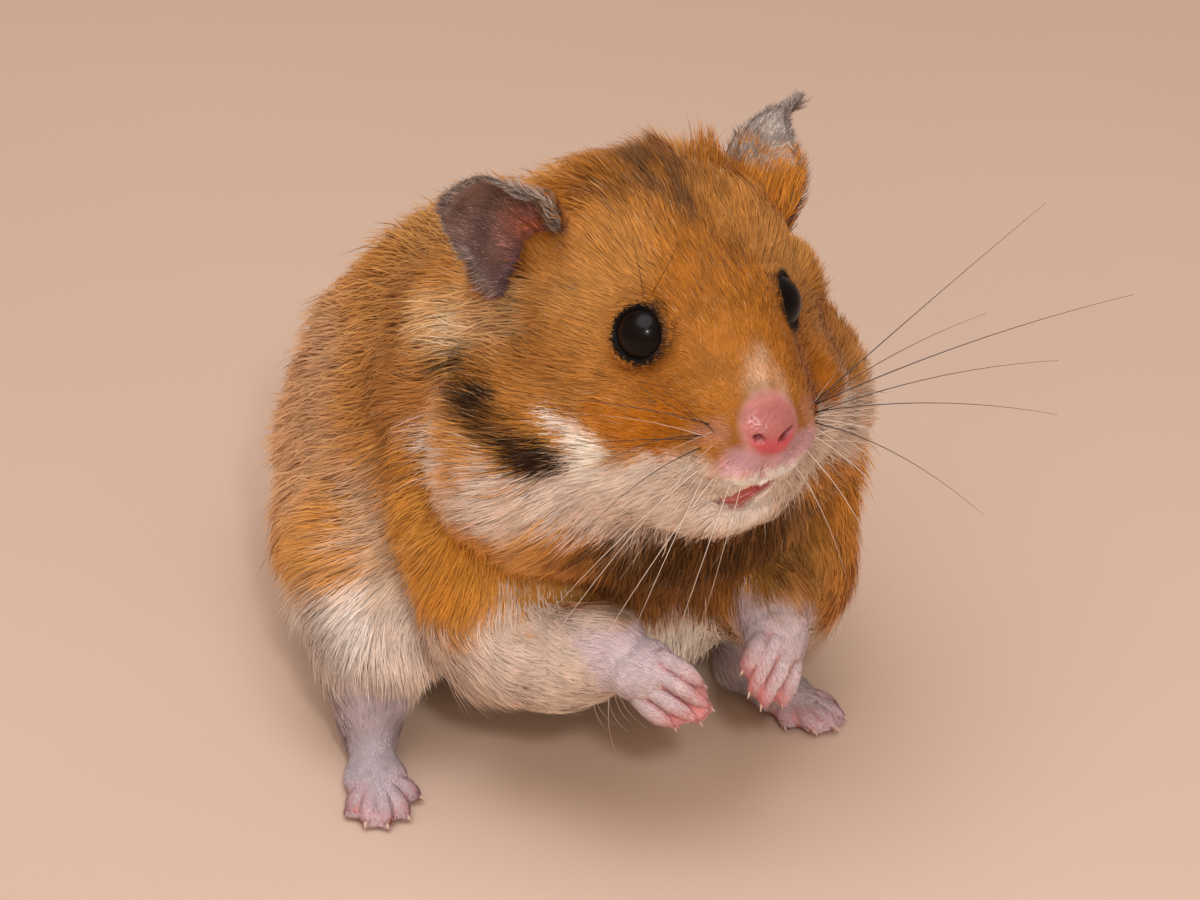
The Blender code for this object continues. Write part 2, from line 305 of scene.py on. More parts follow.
panel("overhead panel", (-0.10, -0.12, 0.62), (0, 0, 0.03), 0.58, 2.7, "#F4F7FF")
panel("front panel", (-0.45, -0.60, 0.34), (0, 0, 0.03), 0.40, 0.7, "#FFF4EA", mirrored=False)
panel("eye lamp", (-0.16, -0.52, 0.42), (0, -0.03, 0.06), 0.055, 1.2, "#FFFFFF")
room = bpy.data.worlds.new("soft room")
room.use_nodes = True
light = room.node_tree.nodes["Background"].inputs
light["Color"].default_value, light["Strength"].default_value = rgba("#FFE3CE"), 0.39
bpy.context.scene.world = room

# %% Floor
floor_mesh = bmesh.new()
bmesh.ops.create_grid(floor_mesh, x_segments=2, y_segments=2, size=2.0)
floor = placed("floor", mesh_of(floor_mesh, "floor"))
matt_floor = new_material("matt_painted_floor")
grain = pattern(matt_floor, "ShaderNodeTexNoise", Scale=900.0, Detail=2.0)
grain_bump = add_node(matt_floor, "ShaderNodeBump", [("Height", grain, "Fac")], Strength=0.06, Distance=0.0004)
surfaced(matt_floor, [("Base Color", two_tones(matt_floor, 9.0, 3.0, "#D5B59D", "#DAC0AC"), 2),
                      ("Normal", grain_bump, "Normal")], Roughness=0.85)
floor.data.materials.append(matt_floor)

# %% [markdown]
# ## The lie of the coat
# A hamster's coat is short on the nose and paws, plush on the back, and lies from the nose towards the tail and
# down the sides. Each row below is one named place with how far it reaches, the hair's length there, how many
# degrees it stands off the skin, and the way it lies. Any other place takes a blend of the nearest rows. The
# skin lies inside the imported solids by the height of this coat, so the tips of the hair end where the solid did.

# %% The coat, place by place
HEAD_COAT = (
    ("nose", (0, -12, -6), 2.4, 0.4, 12, (0, 0.8, 0.6)),
    ("nose bridge", (0, -8, 0.5), 2.6, 1.2, 15, (0, 0.85, 0.5)),
    ("brow", (0, 0, 6), 4.0, 2.6, 18, (0, 1, 0.5)),
    ("upper brow", (4.5, 6, 8.5), 4.0, 3.6, 24, (0.1, 1, 0.3)),
    ("crown", (0, 13, 12), 5.0, 4.5, 32, (0, 1, 0.15)),
    ("nape", (0, 27, 4), 7.0, 7.5, 27, (0, 1, -0.15)),
    ("muzzle side", (6, -8, -7), 2.6, 1.5, 15, (0.5, 0.85, 0)),
    ("whisker pad", (4, -10, -9), 2.0, 1.3, 14, (0.7, 0.6, -0.3)),
    ("upper lip", (2, -12, -11), 1.6, 1.1, 16, (0.35, 0.1, -0.95)),
    ("lower lip", (0, -10, -16), 2.2, 1.0, 14, (0, 0.2, -1)),
    ("chin", (0, -8, -19), 3.0, 2.4, 20, (0, 0.6, -0.8)),
    ("eye rim", (8, -0.6, 0), 2.6, 0.9, 14, (0.6, 0.8, 0)),
    ("under the eye", (11.5, -2, -6), 3.0, 2.2, 17, (0.55, 0.85, -0.1)),
    ("temple", (12.5, 6, 3), 4.0, 2.8, 18, (0.45, 0.9, 0.05)),
    ("ear root front", (11.0, 11, 7.0), 3.2, 2.4, 20, (0.25, 0.75, 0.6)),
    ("ear root back", (11.5, 19, 5), 3.5, 4.0, 28, (0.2, 0.95, 0.1)),
    ("behind the ear", (16.5, 14, 0.5), 3.4, 10.0, 24, (0.12, 0.86, -0.5)),
    ("cheek", (17, 3, -8), 4.5, 4.0, 20, (0.4, 0.9, -0.2)),
    ("rear cheek", (20, 13, -7), 5.0, 6.0, 25, (0.3, 0.95, -0.2)),
    ("jowl", (18, 24, -12), 6.0, 8.0, 28, (0.25, 0.95, -0.3)),
    ("muzzle underside", (9, -4, -16), 3.5, 3.2, 20, (0.5, 0.75, -0.45)),
    ("ruff", (16, 3, -19), 5.0, 5.5, 26, (0.45, 0.8, -0.5)),
    ("throat", (0, -1, -24), 5.0, 5.5, 26, (0, 0.75, -0.7)),
)
BODY_COAT = (
    ("withers", (0, 2, 56), 8.0, 8.5, 22, (0, 1, -0.25)),
    ("back", (0, 20, 46), 10.0, 8.5, 21, (0, 0.9, -0.45)),
    ("rump top", (0, 35, 33), 9.0, 8.5, 20, (0, 0.65, -0.75)),
    ("rump rear", (0, 44, 17), 9.0, 8.0, 19, (0, 0.25, -1)),
    ("flank high", (20, 12, 42), 9.0, 8.5, 21, (0.2, 0.85, -0.5)),
    ("flank", (25, 10, 28), 9.0, 8.0, 21, (0.05, 0.75, -0.65)),
    ("rump side", (22, 27, 26), 9.0, 8.0, 20, (-0.1, 0.8, -0.6)),
    ("shoulder", (20, -8, 44), 8.0, 7.5, 22, (0.2, 0.7, -0.65)),
    ("upper arm", (23, -16, 30), 6.5, 6.0, 21, (0.05, 0.55, -0.85)),
    ("arm underside", (19, -14, 20), 5.0, 5.0, 22, (-0.2, 0.5, -0.85)),
    ("breast side", (13, -25, 33), 6.5, 6.0, 21, (0.1, 0.15, -1)),
    ("breast", (0, -27, 28), 6.5, 6.0, 21, (0, 0.1, -1)),
    ("belly", (0, -10, 12), 8.0, 6.0, 22, (0, 0.8, -0.5)),
    ("groin", (16, -2, 14), 6.0, 5.5, 22, (0.1, 0.7, -0.7)),
    ("haunch", (27, 8, 18), 7.0, 6.0, 19, (0.1, 0.2, -1)),
    ("haunch rear", (18, 28, 9), 7.0, 7.0, 19, (0, 0.7, -0.6)),
    ("seat", (0, 25, 3), 10.0, 3.0, 12, (0, 1, 0)),
    ("tail root", (-0.5, 44, 6), 4.0, 4.0, 20, (0, 1, -0.4)),
)
EARS_AND_LIMBS = (
    ("left ear root", (13.8, -23.6, 68.4), 2.6, 5.6, 30, (0.35, 0.45, 0.85)),
    ("left ear outside", (16.8, -24.4, 64.8), 2.8, 3.2, 20, (0.3, 0.3, 0.85)),
    ("left ear rear", (14.0, -16.5, 64.0), 3.0, 6.0, 34, (0.5, 0.6, 0.5)),
    ("far temple", (15.4, -29.4, 64.8), 3.2, 2.8, 26, (0.5, 0.5, 0.6)),
    ("crown beside the left ear", (9.6, -20.5, 70.3), 2.8, 6.0, 50, (0.25, 0.35, 0.85)),
    ("right ear root", (-6.2, -24.2, 70.0), 2.4, 5.4, 30, (-0.85, 0.3, 0.2)),
    ("right ear front", (-7.2, -28.0, 65.4), 1.9, 3.2, 26, (-0.7, 0.7, -0.1)),
    ("left cuff", (12.6, -32.0, 26.5), 2.6, 4.2, 20, (-0.1, -0.55, -0.82)),
    ("right elbow", (-19.8, -22, 19.5), 4.5, 4.6, 20, (0.4, -0.8, -0.3)),
    ("right forearm", (-13.8, -30.5, 21), 4.0, 2.8, 18, (0.55, -0.82, 0.1)),
    ("right wrist", (-9.8, -36.0, 24.8), 3.2, 1.6, 16, (0.6, -0.8, 0)),
    ("right palm", (-6.0, -40.3, 23.0), 3.6, 0.85, 13, (0.7, -0.65, -0.4)),
    ("right fingers", (-3.0, -43.8, 20.0), 2.4, 0.8, 12, (0.55, -0.65, -0.5)),
    ("left elbow", (21.5, -19, 19.5), 4.5, 4.6, 20, (-0.4, -0.8, -0.3)),
    ("left forearm", (15.5, -27, 21.5), 4.0, 2.8, 18, (-0.45, -0.85, 0.1)),
    ("left wrist", (12.0, -33.2, 24.6), 3.2, 1.5, 15, (-0.2, -0.7, -0.7)),
    ("left palm", (11.3, -37.0, 20.5), 3.8, 0.85, 13, (0, -0.6, -0.8)),
    ("left fingers", (11.3, -38.8, 17.0), 2.4, 0.8, 12, (0, -0.4, -0.9)),
    ("right shank", (-25.5, -5, 10), 4.5, 3.6, 18, (-0.15, -0.35, -0.9)),
    ("right ankle", (-25.0, -10, 4.2), 3.0, 1.6, 14, (-0.25, -0.8, -0.5)),
    ("right foot", (-27.3, -16, 2.6), 3.0, 0.9, 12, (-0.3, -0.95, -0.1)),
    ("right toes", (-29, -22.5, 1.4), 3.0, 0.7, 12, (-0.2, -0.95, -0.1)),
    ("left shank", (19.5, -8, 9), 4.5, 3.6, 18, (0.1, -0.4, -0.9)),
    ("left ankle", (18.8, -13.8, 4.0), 3.0, 1.6, 14, (0.3, -0.8, -0.5)),
    ("left foot", (21.2, -19.8, 2.6), 3.0, 0.9, 12, (0.35, -0.92, -0.1)),
    ("left toes", (23, -25.5, 1.4), 3.0, 0.7, 12, (0.3, -0.95, -0.1)),
    ("tail", (2.6, 47.5, 4.4), 2.6, 1.6, 14, (0, 0.9, -0.5)),
)


def coat_rows():
    """Every place of the tables in the model's frame, those beside the midline on both sides."""
    rows = []
    for table, stand, turn in ((HEAD_COAT, on_head, head_way), (BODY_COAT, on_body, np.array),
                               (EARS_AND_LIMBS, np.array, np.array)):
        for _, place, reach, length, lift, way in table:
            for side in (1,) if place[0] == 0 or table is EARS_AND_LIMBS else (1, -1):
                at, lie = (place[0] * side, *place[1:]), (way[0] * side, *way[1:])
                rows.append((*stand(at), reach, length, lift, *unit(turn(lie))))
    return np.array(rows)


COAT = coat_rows()
BEND = 26


def coat_at(points):
    """Hair length, lift in degrees and lie of the coat at each point, blended from the rows near it."""
    total = np.zeros(len(points)) + 1e-12
    length, lift, way = np.zeros(len(points)), np.zeros(len(points)), np.zeros((len(points), 3))
    for row in COAT:
        away = points - row[:3]
        weight = np.exp(-np.minimum(dot(away, away) / (1.1 * row[3] ** 2), 60.0)) / row[3]
        total += weight
        length += weight * row[4]
        lift += weight * row[5]
        way += weight[:, None] * row[6:9]
    return length / total, lift / total, unit(way)


def height_of(length, lift):
    """How high a hair stands over the skin: it leaves at the lift and bends over halfway."""
    return length / 2 * (np.sin(np.radians(lift)) + np.sin(np.radians(np.maximum(lift - BEND, -4))))


print(len(COAT), "places in the coat's table")

# %% [markdown]
# ## One skin over the flesh
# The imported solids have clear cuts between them. Copies of them are swollen by a little more than half a cut, so
# that they overlap, and a voxel remesh makes one wall of them. The wall is smoothed, most on the broad body and
# least on the small paws, and then drawn inwards by the height of the coat.

# %% Join the flesh into one wall
FLESH = [name for name in sorted(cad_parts) if not name.startswith(("eye_", "ear_"))]
SWELL, WALL_VOXEL, FACE_VOXEL = 0.28, 0.5, 0.42


def frozen(made):
    """Replaces the mesh with what its modifiers make of it."""
    graph = bpy.context.evaluated_depsgraph_get()
    data = bpy.data.meshes.new_from_object(made.evaluated_get(graph))
    made.modifiers.clear()
    made.data = data


def remeshed(made, voxel):
    wall = made.modifiers.new("one wall", "REMESH")
    wall.mode, wall.voxel_size = "VOXEL", voxel * MM
    frozen(made)


WEIGHTS = 20


def smoothed(made, rounds, amount):
    """Smooths the mesh by the amount at each vertex, from 0 to 1, which a vertex group holds in even steps."""
    group = made.vertex_groups.new(name="amount")
    weights = np.round(np.clip(amount, 0, 1) * WEIGHTS).astype(int)
    for weight in np.unique(weights):
        group.add(np.nonzero(weights == weight)[0].tolist(), weight / WEIGHTS, "REPLACE")
    smooth = made.modifiers.new("smooth", "SMOOTH")
    smooth.factor, smooth.iterations, smooth.vertex_group = 0.5, rounds, group.name
    frozen(made)
    made.vertex_groups.clear()


wall = bmesh.new()
for name in FLESH:
    wall.from_mesh(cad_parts[name].data)
bmesh.ops.remove_doubles(wall, verts=wall.verts, dist=0.00001)
wall.normal_update()
for vertex in wall.verts:
    vertex.co += vertex.normal * SWELL * MM
skin_data = bpy.data.meshes.new("skin")
wall.to_mesh(skin_data)
wall.free()
skin = placed("skin", skin_data)
remeshed(skin, WALL_VOXEL)

SMALL_PLACES = [tip for side in ("left", "right") for tips in (FORE_TIPS, HIND_TIPS) for tip in tips[side]]
SMALL_PLACES += [*PALMS.values(), *SOLES.values()]
HOLLOWS = ((1.4, ((-24, 14, 37), (28.8, 14, 37)), 22.0),
           (2.5, ((-15.5, 30, 31), (-19, 28, 27), (-21, 26, 22)), 12.0),
           (1.8, ((20.3, 30, 31), (23.8, 28, 27), (25.8, 26, 22)), 12.0))
MUZZLE = [on_head((0, -11, -8))]
points = places_of(skin.data)
fine = np.maximum(near(points, SMALL_PLACES, 6.0), near(points, MUZZLE, 11.0))
smoothed(skin, 12, 1.0 - 0.93 * fine)
DRAWS = 4
for _ in range(DRAWS):
    points, outward = places_of(skin.data), read(skin.data.vertex_normals, "vector", 3)
    length, lift, way = coat_at(points)
    inwards = 0.92 * height_of(length, lift) + SWELL
    for depth, middles, reach in HOLLOWS:
        inwards += depth * near(points, middles, reach)
    put_places(skin.data, points - outward * (inwards / DRAWS)[:, None])
    smoothed(skin, 2, 0.7 * (1 - near(places_of(skin.data), SMALL_PLACES, 6.0)))
print("skin drawn in by", inwards.min().round(2), "to", inwards.max().round(2), "mm,", len(points), "vertices")

# %% [markdown]
# ## Lids, lips and whisker pads
# Softer forms of the face are added as masses that sink into the wall, and a second remesh takes them in. A lid
# is a ring round the ball of the eye, made by spinning a small circle about the way the eye looks. The lips are
# two lobes that leave the split under the nose, over a lower lip.

# %% Masses of the face
EYE_WAYS = {"left": unit(head_way((0.74, -0.60, 0.32))), "right": unit(head_way((-0.74, -0.54, 0.44)))}


def ellipsoid(mesh, middle, radii):
    """An ellipsoid with its axes along the head's."""
    turn = Matrix((HEAD_X, HEAD_Y, HEAD_Z)).transposed().to_4x4()
    size = Matrix.Diagonal((*(radius * MM for radius in radii), 1.0))
    bmesh.ops.create_uvsphere(mesh, u_segments=20, v_segments=10, radius=1.0,
                              matrix=Matrix.Translation(Vector(middle) * MM) @ turn @ size)


def ring(mesh, middle, way, radius, thickness):
    """A ring about a way through its middle: a small circle spun a full turn."""
    across = unit(np.cross(way, (0, 0, 1)))
    section = bmesh.ops.create_circle(mesh, segments=12, radius=thickness * MM, matrix=Matrix.Translation(
        Vector(middle + across * radius) * MM) @ Matrix((across, way, np.cross(across, way))).transposed().to_4x4())
    bmesh.ops.spin(mesh, geom=section["verts"] + list({e for v in section["verts"] for e in v.link_edges}),
                   cent=Vector(middle) * MM, axis=Vector(way), angle=2 * math.pi, steps=40, use_merge=True)


def add_meshes(data, others):
    """Adds other meshes to a mesh, and returns the vertices that each one brought as (first, end)."""
    whole = bmesh.new()
    whole.from_mesh(data)
    spans = []
    for other in others:
        first = len(whole.verts)
        whole.from_mesh(other)
        spans.append((first, len(whole.verts)))
    whole.to_mesh(data)
    whole.free()
    return spans


LID_RADIUS, LID_RISE, LID_THICKNESS = 2.95, 1.05, 0.85
face = bmesh.new()
for side in ("left", "right"):
    ring(face, EYES[side] + EYE_WAYS[side] * LID_RISE, EYE_WAYS[side], LID_RADIUS, LID_THICKNESS)
# lobes of the lip, whisker pads and lower lip
for side in (-1, 1):
    ellipsoid(face, on_head((side * 2.0 - 0.6, -11.3, -10.8)), (2.2, 1.6, 1.8))
    ellipsoid(face, on_head((side * 3.9 - 0.4, -9.7, -9.4)), (3.0, 2.4, 3.0))
ellipsoid(face, on_head((-1.6, -9.2, -16.9)), (3.8, 2.1, 1.5))
# under the left ear, at the left temple, before the left ear, and the two palms
for middle, radii in (((15.2, -23.0, 63.4), (3.0, 3.8, 3.6)), ((15.7, -28.9, 58.6), (2.9, 3.8, 4.9)),
                      ((10.2, -20.8, 66.0), (3.8, 4.2, 3.4)), (PALMS["right"], (3.9, 3.8, 3.3)),
                      (PALMS["left"], (3.7, 3.3, 4.2))):
    ellipsoid(face, middle, radii)
add_meshes(skin.data, [mesh_of(face, "face_masses")])
remeshed(skin, FACE_VOXEL)
points = places_of(skin.data)
smoothed(skin, 3, 1.0 - 0.6 * near(points, SMALL_PLACES + MUZZLE, 8.0))
smoothed(skin, 16, near(places_of(skin.data), [(15.5, -25.5, 64.0), (10.5, -22.0, 68.0)], 7.5))
fewer = skin.modifiers.new("fewer faces", "DECIMATE")
fewer.ratio = 0.5
frozen(skin)
print("skin with lids and lips:", len(skin.data.vertices), "vertices")

# %% [markdown]
# The nostrils, the split of the upper lip and the open mouth are finer than the wall's faces. The faces there
# are cut smaller first, then the wall is pressed in along short strokes. A stroke is a chain of places, each
# with its radius, and it fades to nothing over a soft edge. The markings of the coat are painted with the same
# strokes later.

# %% Strokes
def stroke(points, stations, soft):
    """1 inside a chain of stations, fading to 0 over the soft edge outside it. A station is x, y, z and radius."""
    nearest = np.full(len(points), 1e9)
    stations = np.array(stations, float)
    for start, end in zip(stations, stations[1:]):
        along = (end - start)[:3]
        share = np.clip((points - start[:3]) @ along / max(along @ along, 1e-9), 0.0, 1.0)
        away = np.linalg.norm(points - start[:3] - share[:, None] * along, axis=1)
        nearest = np.minimum(nearest, away - start[3] - share * (end[3] - start[3]))
    return 1.0 - eased(nearest / soft)


def head_stroke(points, stations, soft, both=True):
    """A stroke given in the head's frame, on both sides of the face if asked."""
    amount = stroke(points, [(*on_head(station), station[3]) for station in stations], soft)
    if both:
        other = [(*on_head((-x, y, z)), radius) for x, y, z, radius in stations]
        amount = np.maximum(amount, stroke(points, other, soft))
    return amount


NOSTRIL_RIGHT = ((-1.3, -13.8, -7.5, 0.34), (-2.0, -13.3, -7.1, 0.46), (-2.7, -12.8, -6.7, 0.16))
NOSTRIL_LEFT = ((0.5, -13.9, -7.8, 0.32), (1.4, -13.4, -7.6, 0.46), (2.3, -12.9, -7.2, 0.18))
GROOVE = ((-0.6, -14.0, -4.7, 0.03), (-0.8, -14.2, -6.0, 0.10), (-0.9, -14.2, -7.4, 0.14), (-1.0, -13.9, -8.6, 0.10))
LIP_SPLIT = ((-1.1, -13.6, -8.8, 0.1), (-1.0, -13.4, -10.2, 0.15), (-0.8, -12.8, -12.2, 0.35))
MOUTH = ((-5.2, -9.1, -15.0, 0.1), (-3.9, -10.1, -15.2, 0.55), (-2.7, -10.8, -15.1, 0.80),
         (-1.4, -11.4, -14.6, 1.05), (-0.2, -11.8, -13.9, 1.05), (0.5, -12.0, -13.4, 0.45))
print("the mouth is a line of", len(MOUTH), "stations")

# %% Cut the nose and mouth finer and press them in
LIPS = [on_head((0, -12, -10))]
middle = Vector(on_head((0, -13, -10))) * MM
for reach in (9.0, 6.5):
    cutting = bmesh.new()
    cutting.from_mesh(skin.data)
    edges = [edge for edge in cutting.edges if (edge.verts[0].co - middle).length < reach * MM]
    bmesh.ops.subdivide_edges(cutting, edges=edges, cuts=1, use_grid_fill=True, smooth=0.0)
    bmesh.ops.triangulate(cutting, faces=[f for f in cutting.faces if len(f.verts) > 4])
    cutting.to_mesh(skin.data)
    cutting.free()
smoothed(skin, 3, near(places_of(skin.data), LIPS, 9.0))
points = places_of(skin.data)
pressed = {}
for name, marks, depth, soft, way in (("nostrils", NOSTRIL_RIGHT, 1.1, 0.35, (0.15, 1, 0.35)),
                                      ("nostrils", NOSTRIL_LEFT, 1.1, 0.35, (-0.15, 1, 0.35)),
                                      ("groove", GROOVE, 0.35, 0.4, (0, 1, 0)),
                                      ("lip_split", LIP_SPLIT, 0.5, 0.5, (0, 1, 0)),
                                      ("mouth", MOUTH, 1.1, 0.35, (0, 1, -0.1))):
    amount = head_stroke(points, marks, soft, both=False)
    pressed[name] = np.maximum(pressed.get(name, 0), amount)
    points = points + unit(head_way(way)) * depth * amount[:, None]
put_places(skin.data, points)
smoothed(skin, 1, near(places_of(skin.data), LIPS, 9.0))
print("skin with nostrils and mouth:", len(skin.data.vertices), "vertices")

# %% [markdown]
# ## Ears, fingers and toes
# These are thinner than the remesh can hold, so they are made apart and joined to the skin with their roots
# sunk in it, where the coat hides the join. An ear is a cupped leaf: a flat grid is bent into its shape and given
# a thin wall. The right ear's upper rim folds over, and the left ear's tip curls outwards. A finger is a tube:
# circles set along a bent line, each with its own radius, and bridged.

# %% Tubes and leaves
def tube(mesh, path, radii, sides):
    """Circles along a path of places, bridged into a closed tube. Pointed or rounded ends come from small radii."""
    path = np.array(path, float)
    ways = unit(np.gradient(path, axis=0))
    rings = []
    for place, way, radius in zip(path, ways, radii):
        turn = Vector(way).to_track_quat("Z", "Y").to_matrix().to_4x4()
        made = bmesh.ops.create_circle(mesh, segments=sides, radius=radius * MM, cap_ends=False,
                                       matrix=Matrix.Translation(Vector(place) * MM) @ turn)
        rings.append(made["verts"])
    for first, second in zip(rings, rings[1:]):
        edges = {edge for vertex in first + second for edge in vertex.link_edges
                 if edge.other_vert(vertex) in first or edge.other_vert(vertex) in second}
        bmesh.ops.bridge_loops(mesh, edges=[e for e in edges if len(e.link_faces) < 2 and
                                            (set(e.verts) <= set(first) or set(e.verts) <= set(second))])
    for end in (rings[0], rings[-1]):
        bmesh.ops.contextual_create(mesh, geom=end)


def bent(start, middle, end, steps):
    """Places along a smooth bend from start to end, drawn towards the middle."""
    share = np.linspace(0, 1, steps)[:, None]
    start, middle, end = (np.array(place, float) for place in (start, middle, end))
    return (1 - share) ** 2 * start + 2 * share * (1 - share) * middle + share ** 2 * end


ROUND_END = (0.45, 0.8, 1.0, 1.0, 1.0, 0.97, 0.95, 0.97, 1.0, 1.0, 0.92, 0.72, 0.4)


def digit(mesh, palm, knuckle, tip, radius):
    """A finger or toe from inside the palm over its knuckle to its tip, with a padded end."""
    palm, knuckle, tip = (np.array(place, float) for place in (palm, knuckle, tip))
    start = palm + (knuckle - palm) * 0.55
    middle = knuckle * 1.25 - (start + tip) * 0.125
    tube(mesh, bent(start, middle, tip, len(ROUND_END)), [radius * share for share in ROUND_END], DIGIT_SIDES)


EAR_GRID, EAR_WALL = 44, 0.5
FINGER, TOE, DIGIT_SIDES = 1.02, 0.98, 12


def ear_leaf(root, axis, facing, length, half_width, cup, taper, curl=0, fold=0, slant=0, stem=0, sink=0):
    """A leaf's mesh with its own p (across), q (along) and side (1 the open face, -1 the back) at each vertex."""
    mesh = bmesh.new()
    bmesh.ops.create_grid(mesh, x_segments=EAR_GRID, y_segments=EAR_GRID, size=1.0)
    flat = np.array([vertex.co[:2] for vertex in mesh.verts])
    p, q = flat[:, 0] * np.sqrt(1 - flat[:, 1] ** 2 / 2), flat[:, 1] * np.sqrt(1 - flat[:, 0] ** 2 / 2)
    along = unit(np.array(axis, float))
    across = unit(np.cross(along, facing))
    open_way = np.cross(across, along)
    rim = eased((np.abs(p) - 0.62) / 0.38) * eased((q + 0.7) / 0.5)
    over = fold * eased((p - 0.55) / 0.45) * eased((q + 0.75) / 0.5) * eased((1.05 - q) / 0.5)
    ridges = 0.35 * np.exp(-((p + 0.30 - 0.2 * q) / 0.13) ** 2) + 0.28 * np.exp(-((p - 0.18) / 0.12) ** 2)
    hook = np.clip((q - 0.2) / 0.8, 0, 1) ** 2.2
    depth = cup * (p * p * (1 - hook) + 0.35 * q * q) + curl * hook + ridges * eased((0.75 - q) / 0.8)
    depth -= sink * eased((-0.5 - q) / 0.5)
    narrowed = (1 - stem * eased((0.2 - q) / 0.9) * (p > 0)) * (1 - slant * eased((q + 0.7) / 1.1) * (p < 0))
    width = half_width * (1 - taper * q) * p * narrowed - 1.0 * over
    rise = length * (q + 1) / 2 + 0.25 * ripple(np.pad(flat, ((0, 0), (0, 1))), 0.9, 5) * rim
    depth = depth + 1.9 * over
    places = np.array(root) + across * width[:, None] + along * rise[:, None] + open_way * depth[:, None]
    for vertex, place in zip(mesh.verts, places):
        vertex.co = Vector(place) * MM
    made = placed("ear", mesh_of(mesh, "ear"))
    thick = made.modifiers.new("wall", "SOLIDIFY")
    thick.thickness, thick.offset = EAR_WALL * MM, 0.0
    frozen(made)
    count = len(places)
    walls = places_of(made.data)
    side = np.sign(dot(walls[:count] - places, np.tile(open_way, (count, 1))).mean())
    data = made.data
    bpy.data.objects.remove(made)
    lie = unit(np.tile(along, (count, 1)) + across * (0.55 * p)[:, None])
    return data, np.tile(p, 2), np.tile(q, 2), np.repeat((side, -side), count), np.tile(lie, (2, 1))


print("a finger is", len(ROUND_END), "circles of", DIGIT_SIDES, "sides")


# %% Join them to the skin
EARS = {
    "right": ear_leaf((-7.6, -24.1, 66.9), (-0.84, 0.06, 0.50), (-0.24, -0.92, -0.30),
                      15.0, 8.2, 3.6, 0.20, fold=0.6, slant=0.42, stem=0.6, sink=3.0),
    "left": ear_leaf((12.6, -20.4, 61.2), (0.39, 0.40, 0.82), (0.86, -0.02, -0.50), 16.2, 6.9, 3.0, 0.78, curl=5.4),
}
hands = bmesh.new()
for side in ("right", "left"):
    for knuckle, tip in zip(KNUCKLES[side], FORE_TIPS[side]):
        digit(hands, PALMS[side], knuckle, tip, FINGER)
    for tip in HIND_TIPS[side]:
        sole = np.array(SOLES[side]) - (0, 0, 0.2)
        digit(hands, sole, (sole + np.array(tip)) / 2 + (0, 0, 0.8), tip, TOE)
wall_count = len(skin.data.vertices)
spans = add_meshes(skin.data, [EARS["right"][0], EARS["left"][0], mesh_of(hands, "digits")])
ranges = dict(zip(("ear_right", "ear_left", "digits"), spans))
pressed = {name: np.pad(amount, (0, len(skin.data.vertices) - wall_count)) for name, amount in pressed.items()}
for polygon in skin.data.polygons:
    polygon.use_smooth = True
skin.data.update()
print("whole skin:", len(skin.data.vertices), "vertices, ranges", ranges)

# %% [markdown]
# ## The markings
# A golden hamster is orange-gold above and cream below. A dark flash runs back along the cheek behind a white
# crescent, a smoky patch sits on the crown, and the shoulder is darker than the rump. Most markings are strokes
# with a soft, wandering edge, painted one over the other from the tables below. The stroke on the left shoulder
# is painted shade under the cheek, and the dark throat is partly painted shade under the head. Skin and coat ask
# the same function for their colour, so that they carry the same markings.

# %% Coat colours
GOLD, ORANGE, PALE_GOLD, BROWN = "#DAA058", "#CC7F24", "#E8C49E", "#9E6630"
CREAM, SHADE_CREAM, LAVENDER, GREY_LEG = "#E8D3C2", "#D6B698", "#DAC6C8", "#A28C7C"
SMOKE, FLASH, THROAT_BROWN_AND_SHADE = "#6A4526", "#2C180A", "#4C3014"
PINK, DEEP_PINK, LILAC, LID_BLACK = "#D98C88", "#B8545A", "#D8A6AE", "#0C0706"


def paint(colours, amount, hex_colour):
    colours += np.clip(amount, 0, 1)[:, None] * (linear(hex_colour) - colours)


def body_stroke(points, stations, soft, both):
    """A stroke in the model's frame, and mirrored in the body's midline if asked."""
    amount = stroke(points, stations, soft)
    if both:
        amount = np.maximum(amount, stroke(points * (-1, 1, 1) + (2 * MIDLINE, 0, 0), stations, soft))
    return amount


def nose_distance(points):
    """Distance from the middle of the nose pad, 1 at its edge. The pad is a little higher than wide."""
    head = in_head(points)
    return np.sqrt((head[:, 0] / 2.9) ** 2 + ((head[:, 1] + 12.8) / 3.4) ** 2 + ((head[:, 2] + 6.2) / 3.0) ** 2)


def streak(points, seed):
    """Uneven streaks along the body, between 0.55 and 1.25, as where locks of two colours mix."""
    return np.clip(0.9 + 0.45 * ripple(points * (1.9, 0.45, 1.2), 3.0, seed), 0.55, 1.25)


# Each row is one mark: its strength, the streaks that break it up (0 for none), whether it is on both sides,
# its soft edge, its colour, and its stations.
BACK_MARKS = (
    (0.55, 0, True, 8, PALE_GOLD, ((-21, 20, 34, 4), (-23, 16, 26, 6), (-21, 28, 22, 6))),
    (0.60, 51, True, 5, BROWN, ((-9, -1, 55, 3), (-16, 0, 47, 3.5), (-19, 0, 38, 3.0), (-21.5, -9, 30, 2.5),
                                (-21, -20, 27, 2))),
    (0.60, 0, True, 4, "#E09A38", ((-21, -12, 36, 2.5), (-22, -19, 29, 3.5), (-14, -27, 29, 3))),
)
BELT_AND_ARMS = (
    (0.75, 0, True, 2.4, SHADE_CREAM, ((-20.9, 8.0, 31, 0.1), (-22.4, 2.0, 27, 0.8), (-24.0, -1.0, 23, 2.2),
                                       (-22.5, -6, 20.5, 2.8), (-20.5, -13, 17, 3.4))),
    (1.00, 0, False, 2.2, CREAM, ((-22, -15, 12.5, 5), (-19.5, -24, 15.5, 4.4), (-14.5, -31.5, 19.8, 4.4),
                                  (-10.5, -36.5, 24.2, 5.0))),
    (1.00, 0, False, 2.2, CREAM, ((23, -13, 9, 4.5), (20.5, -22, 11.0, 4), (16, -28.5, 14.5, 3.6),
                                  (12, -34.5, 18.5, 3.4))),
)
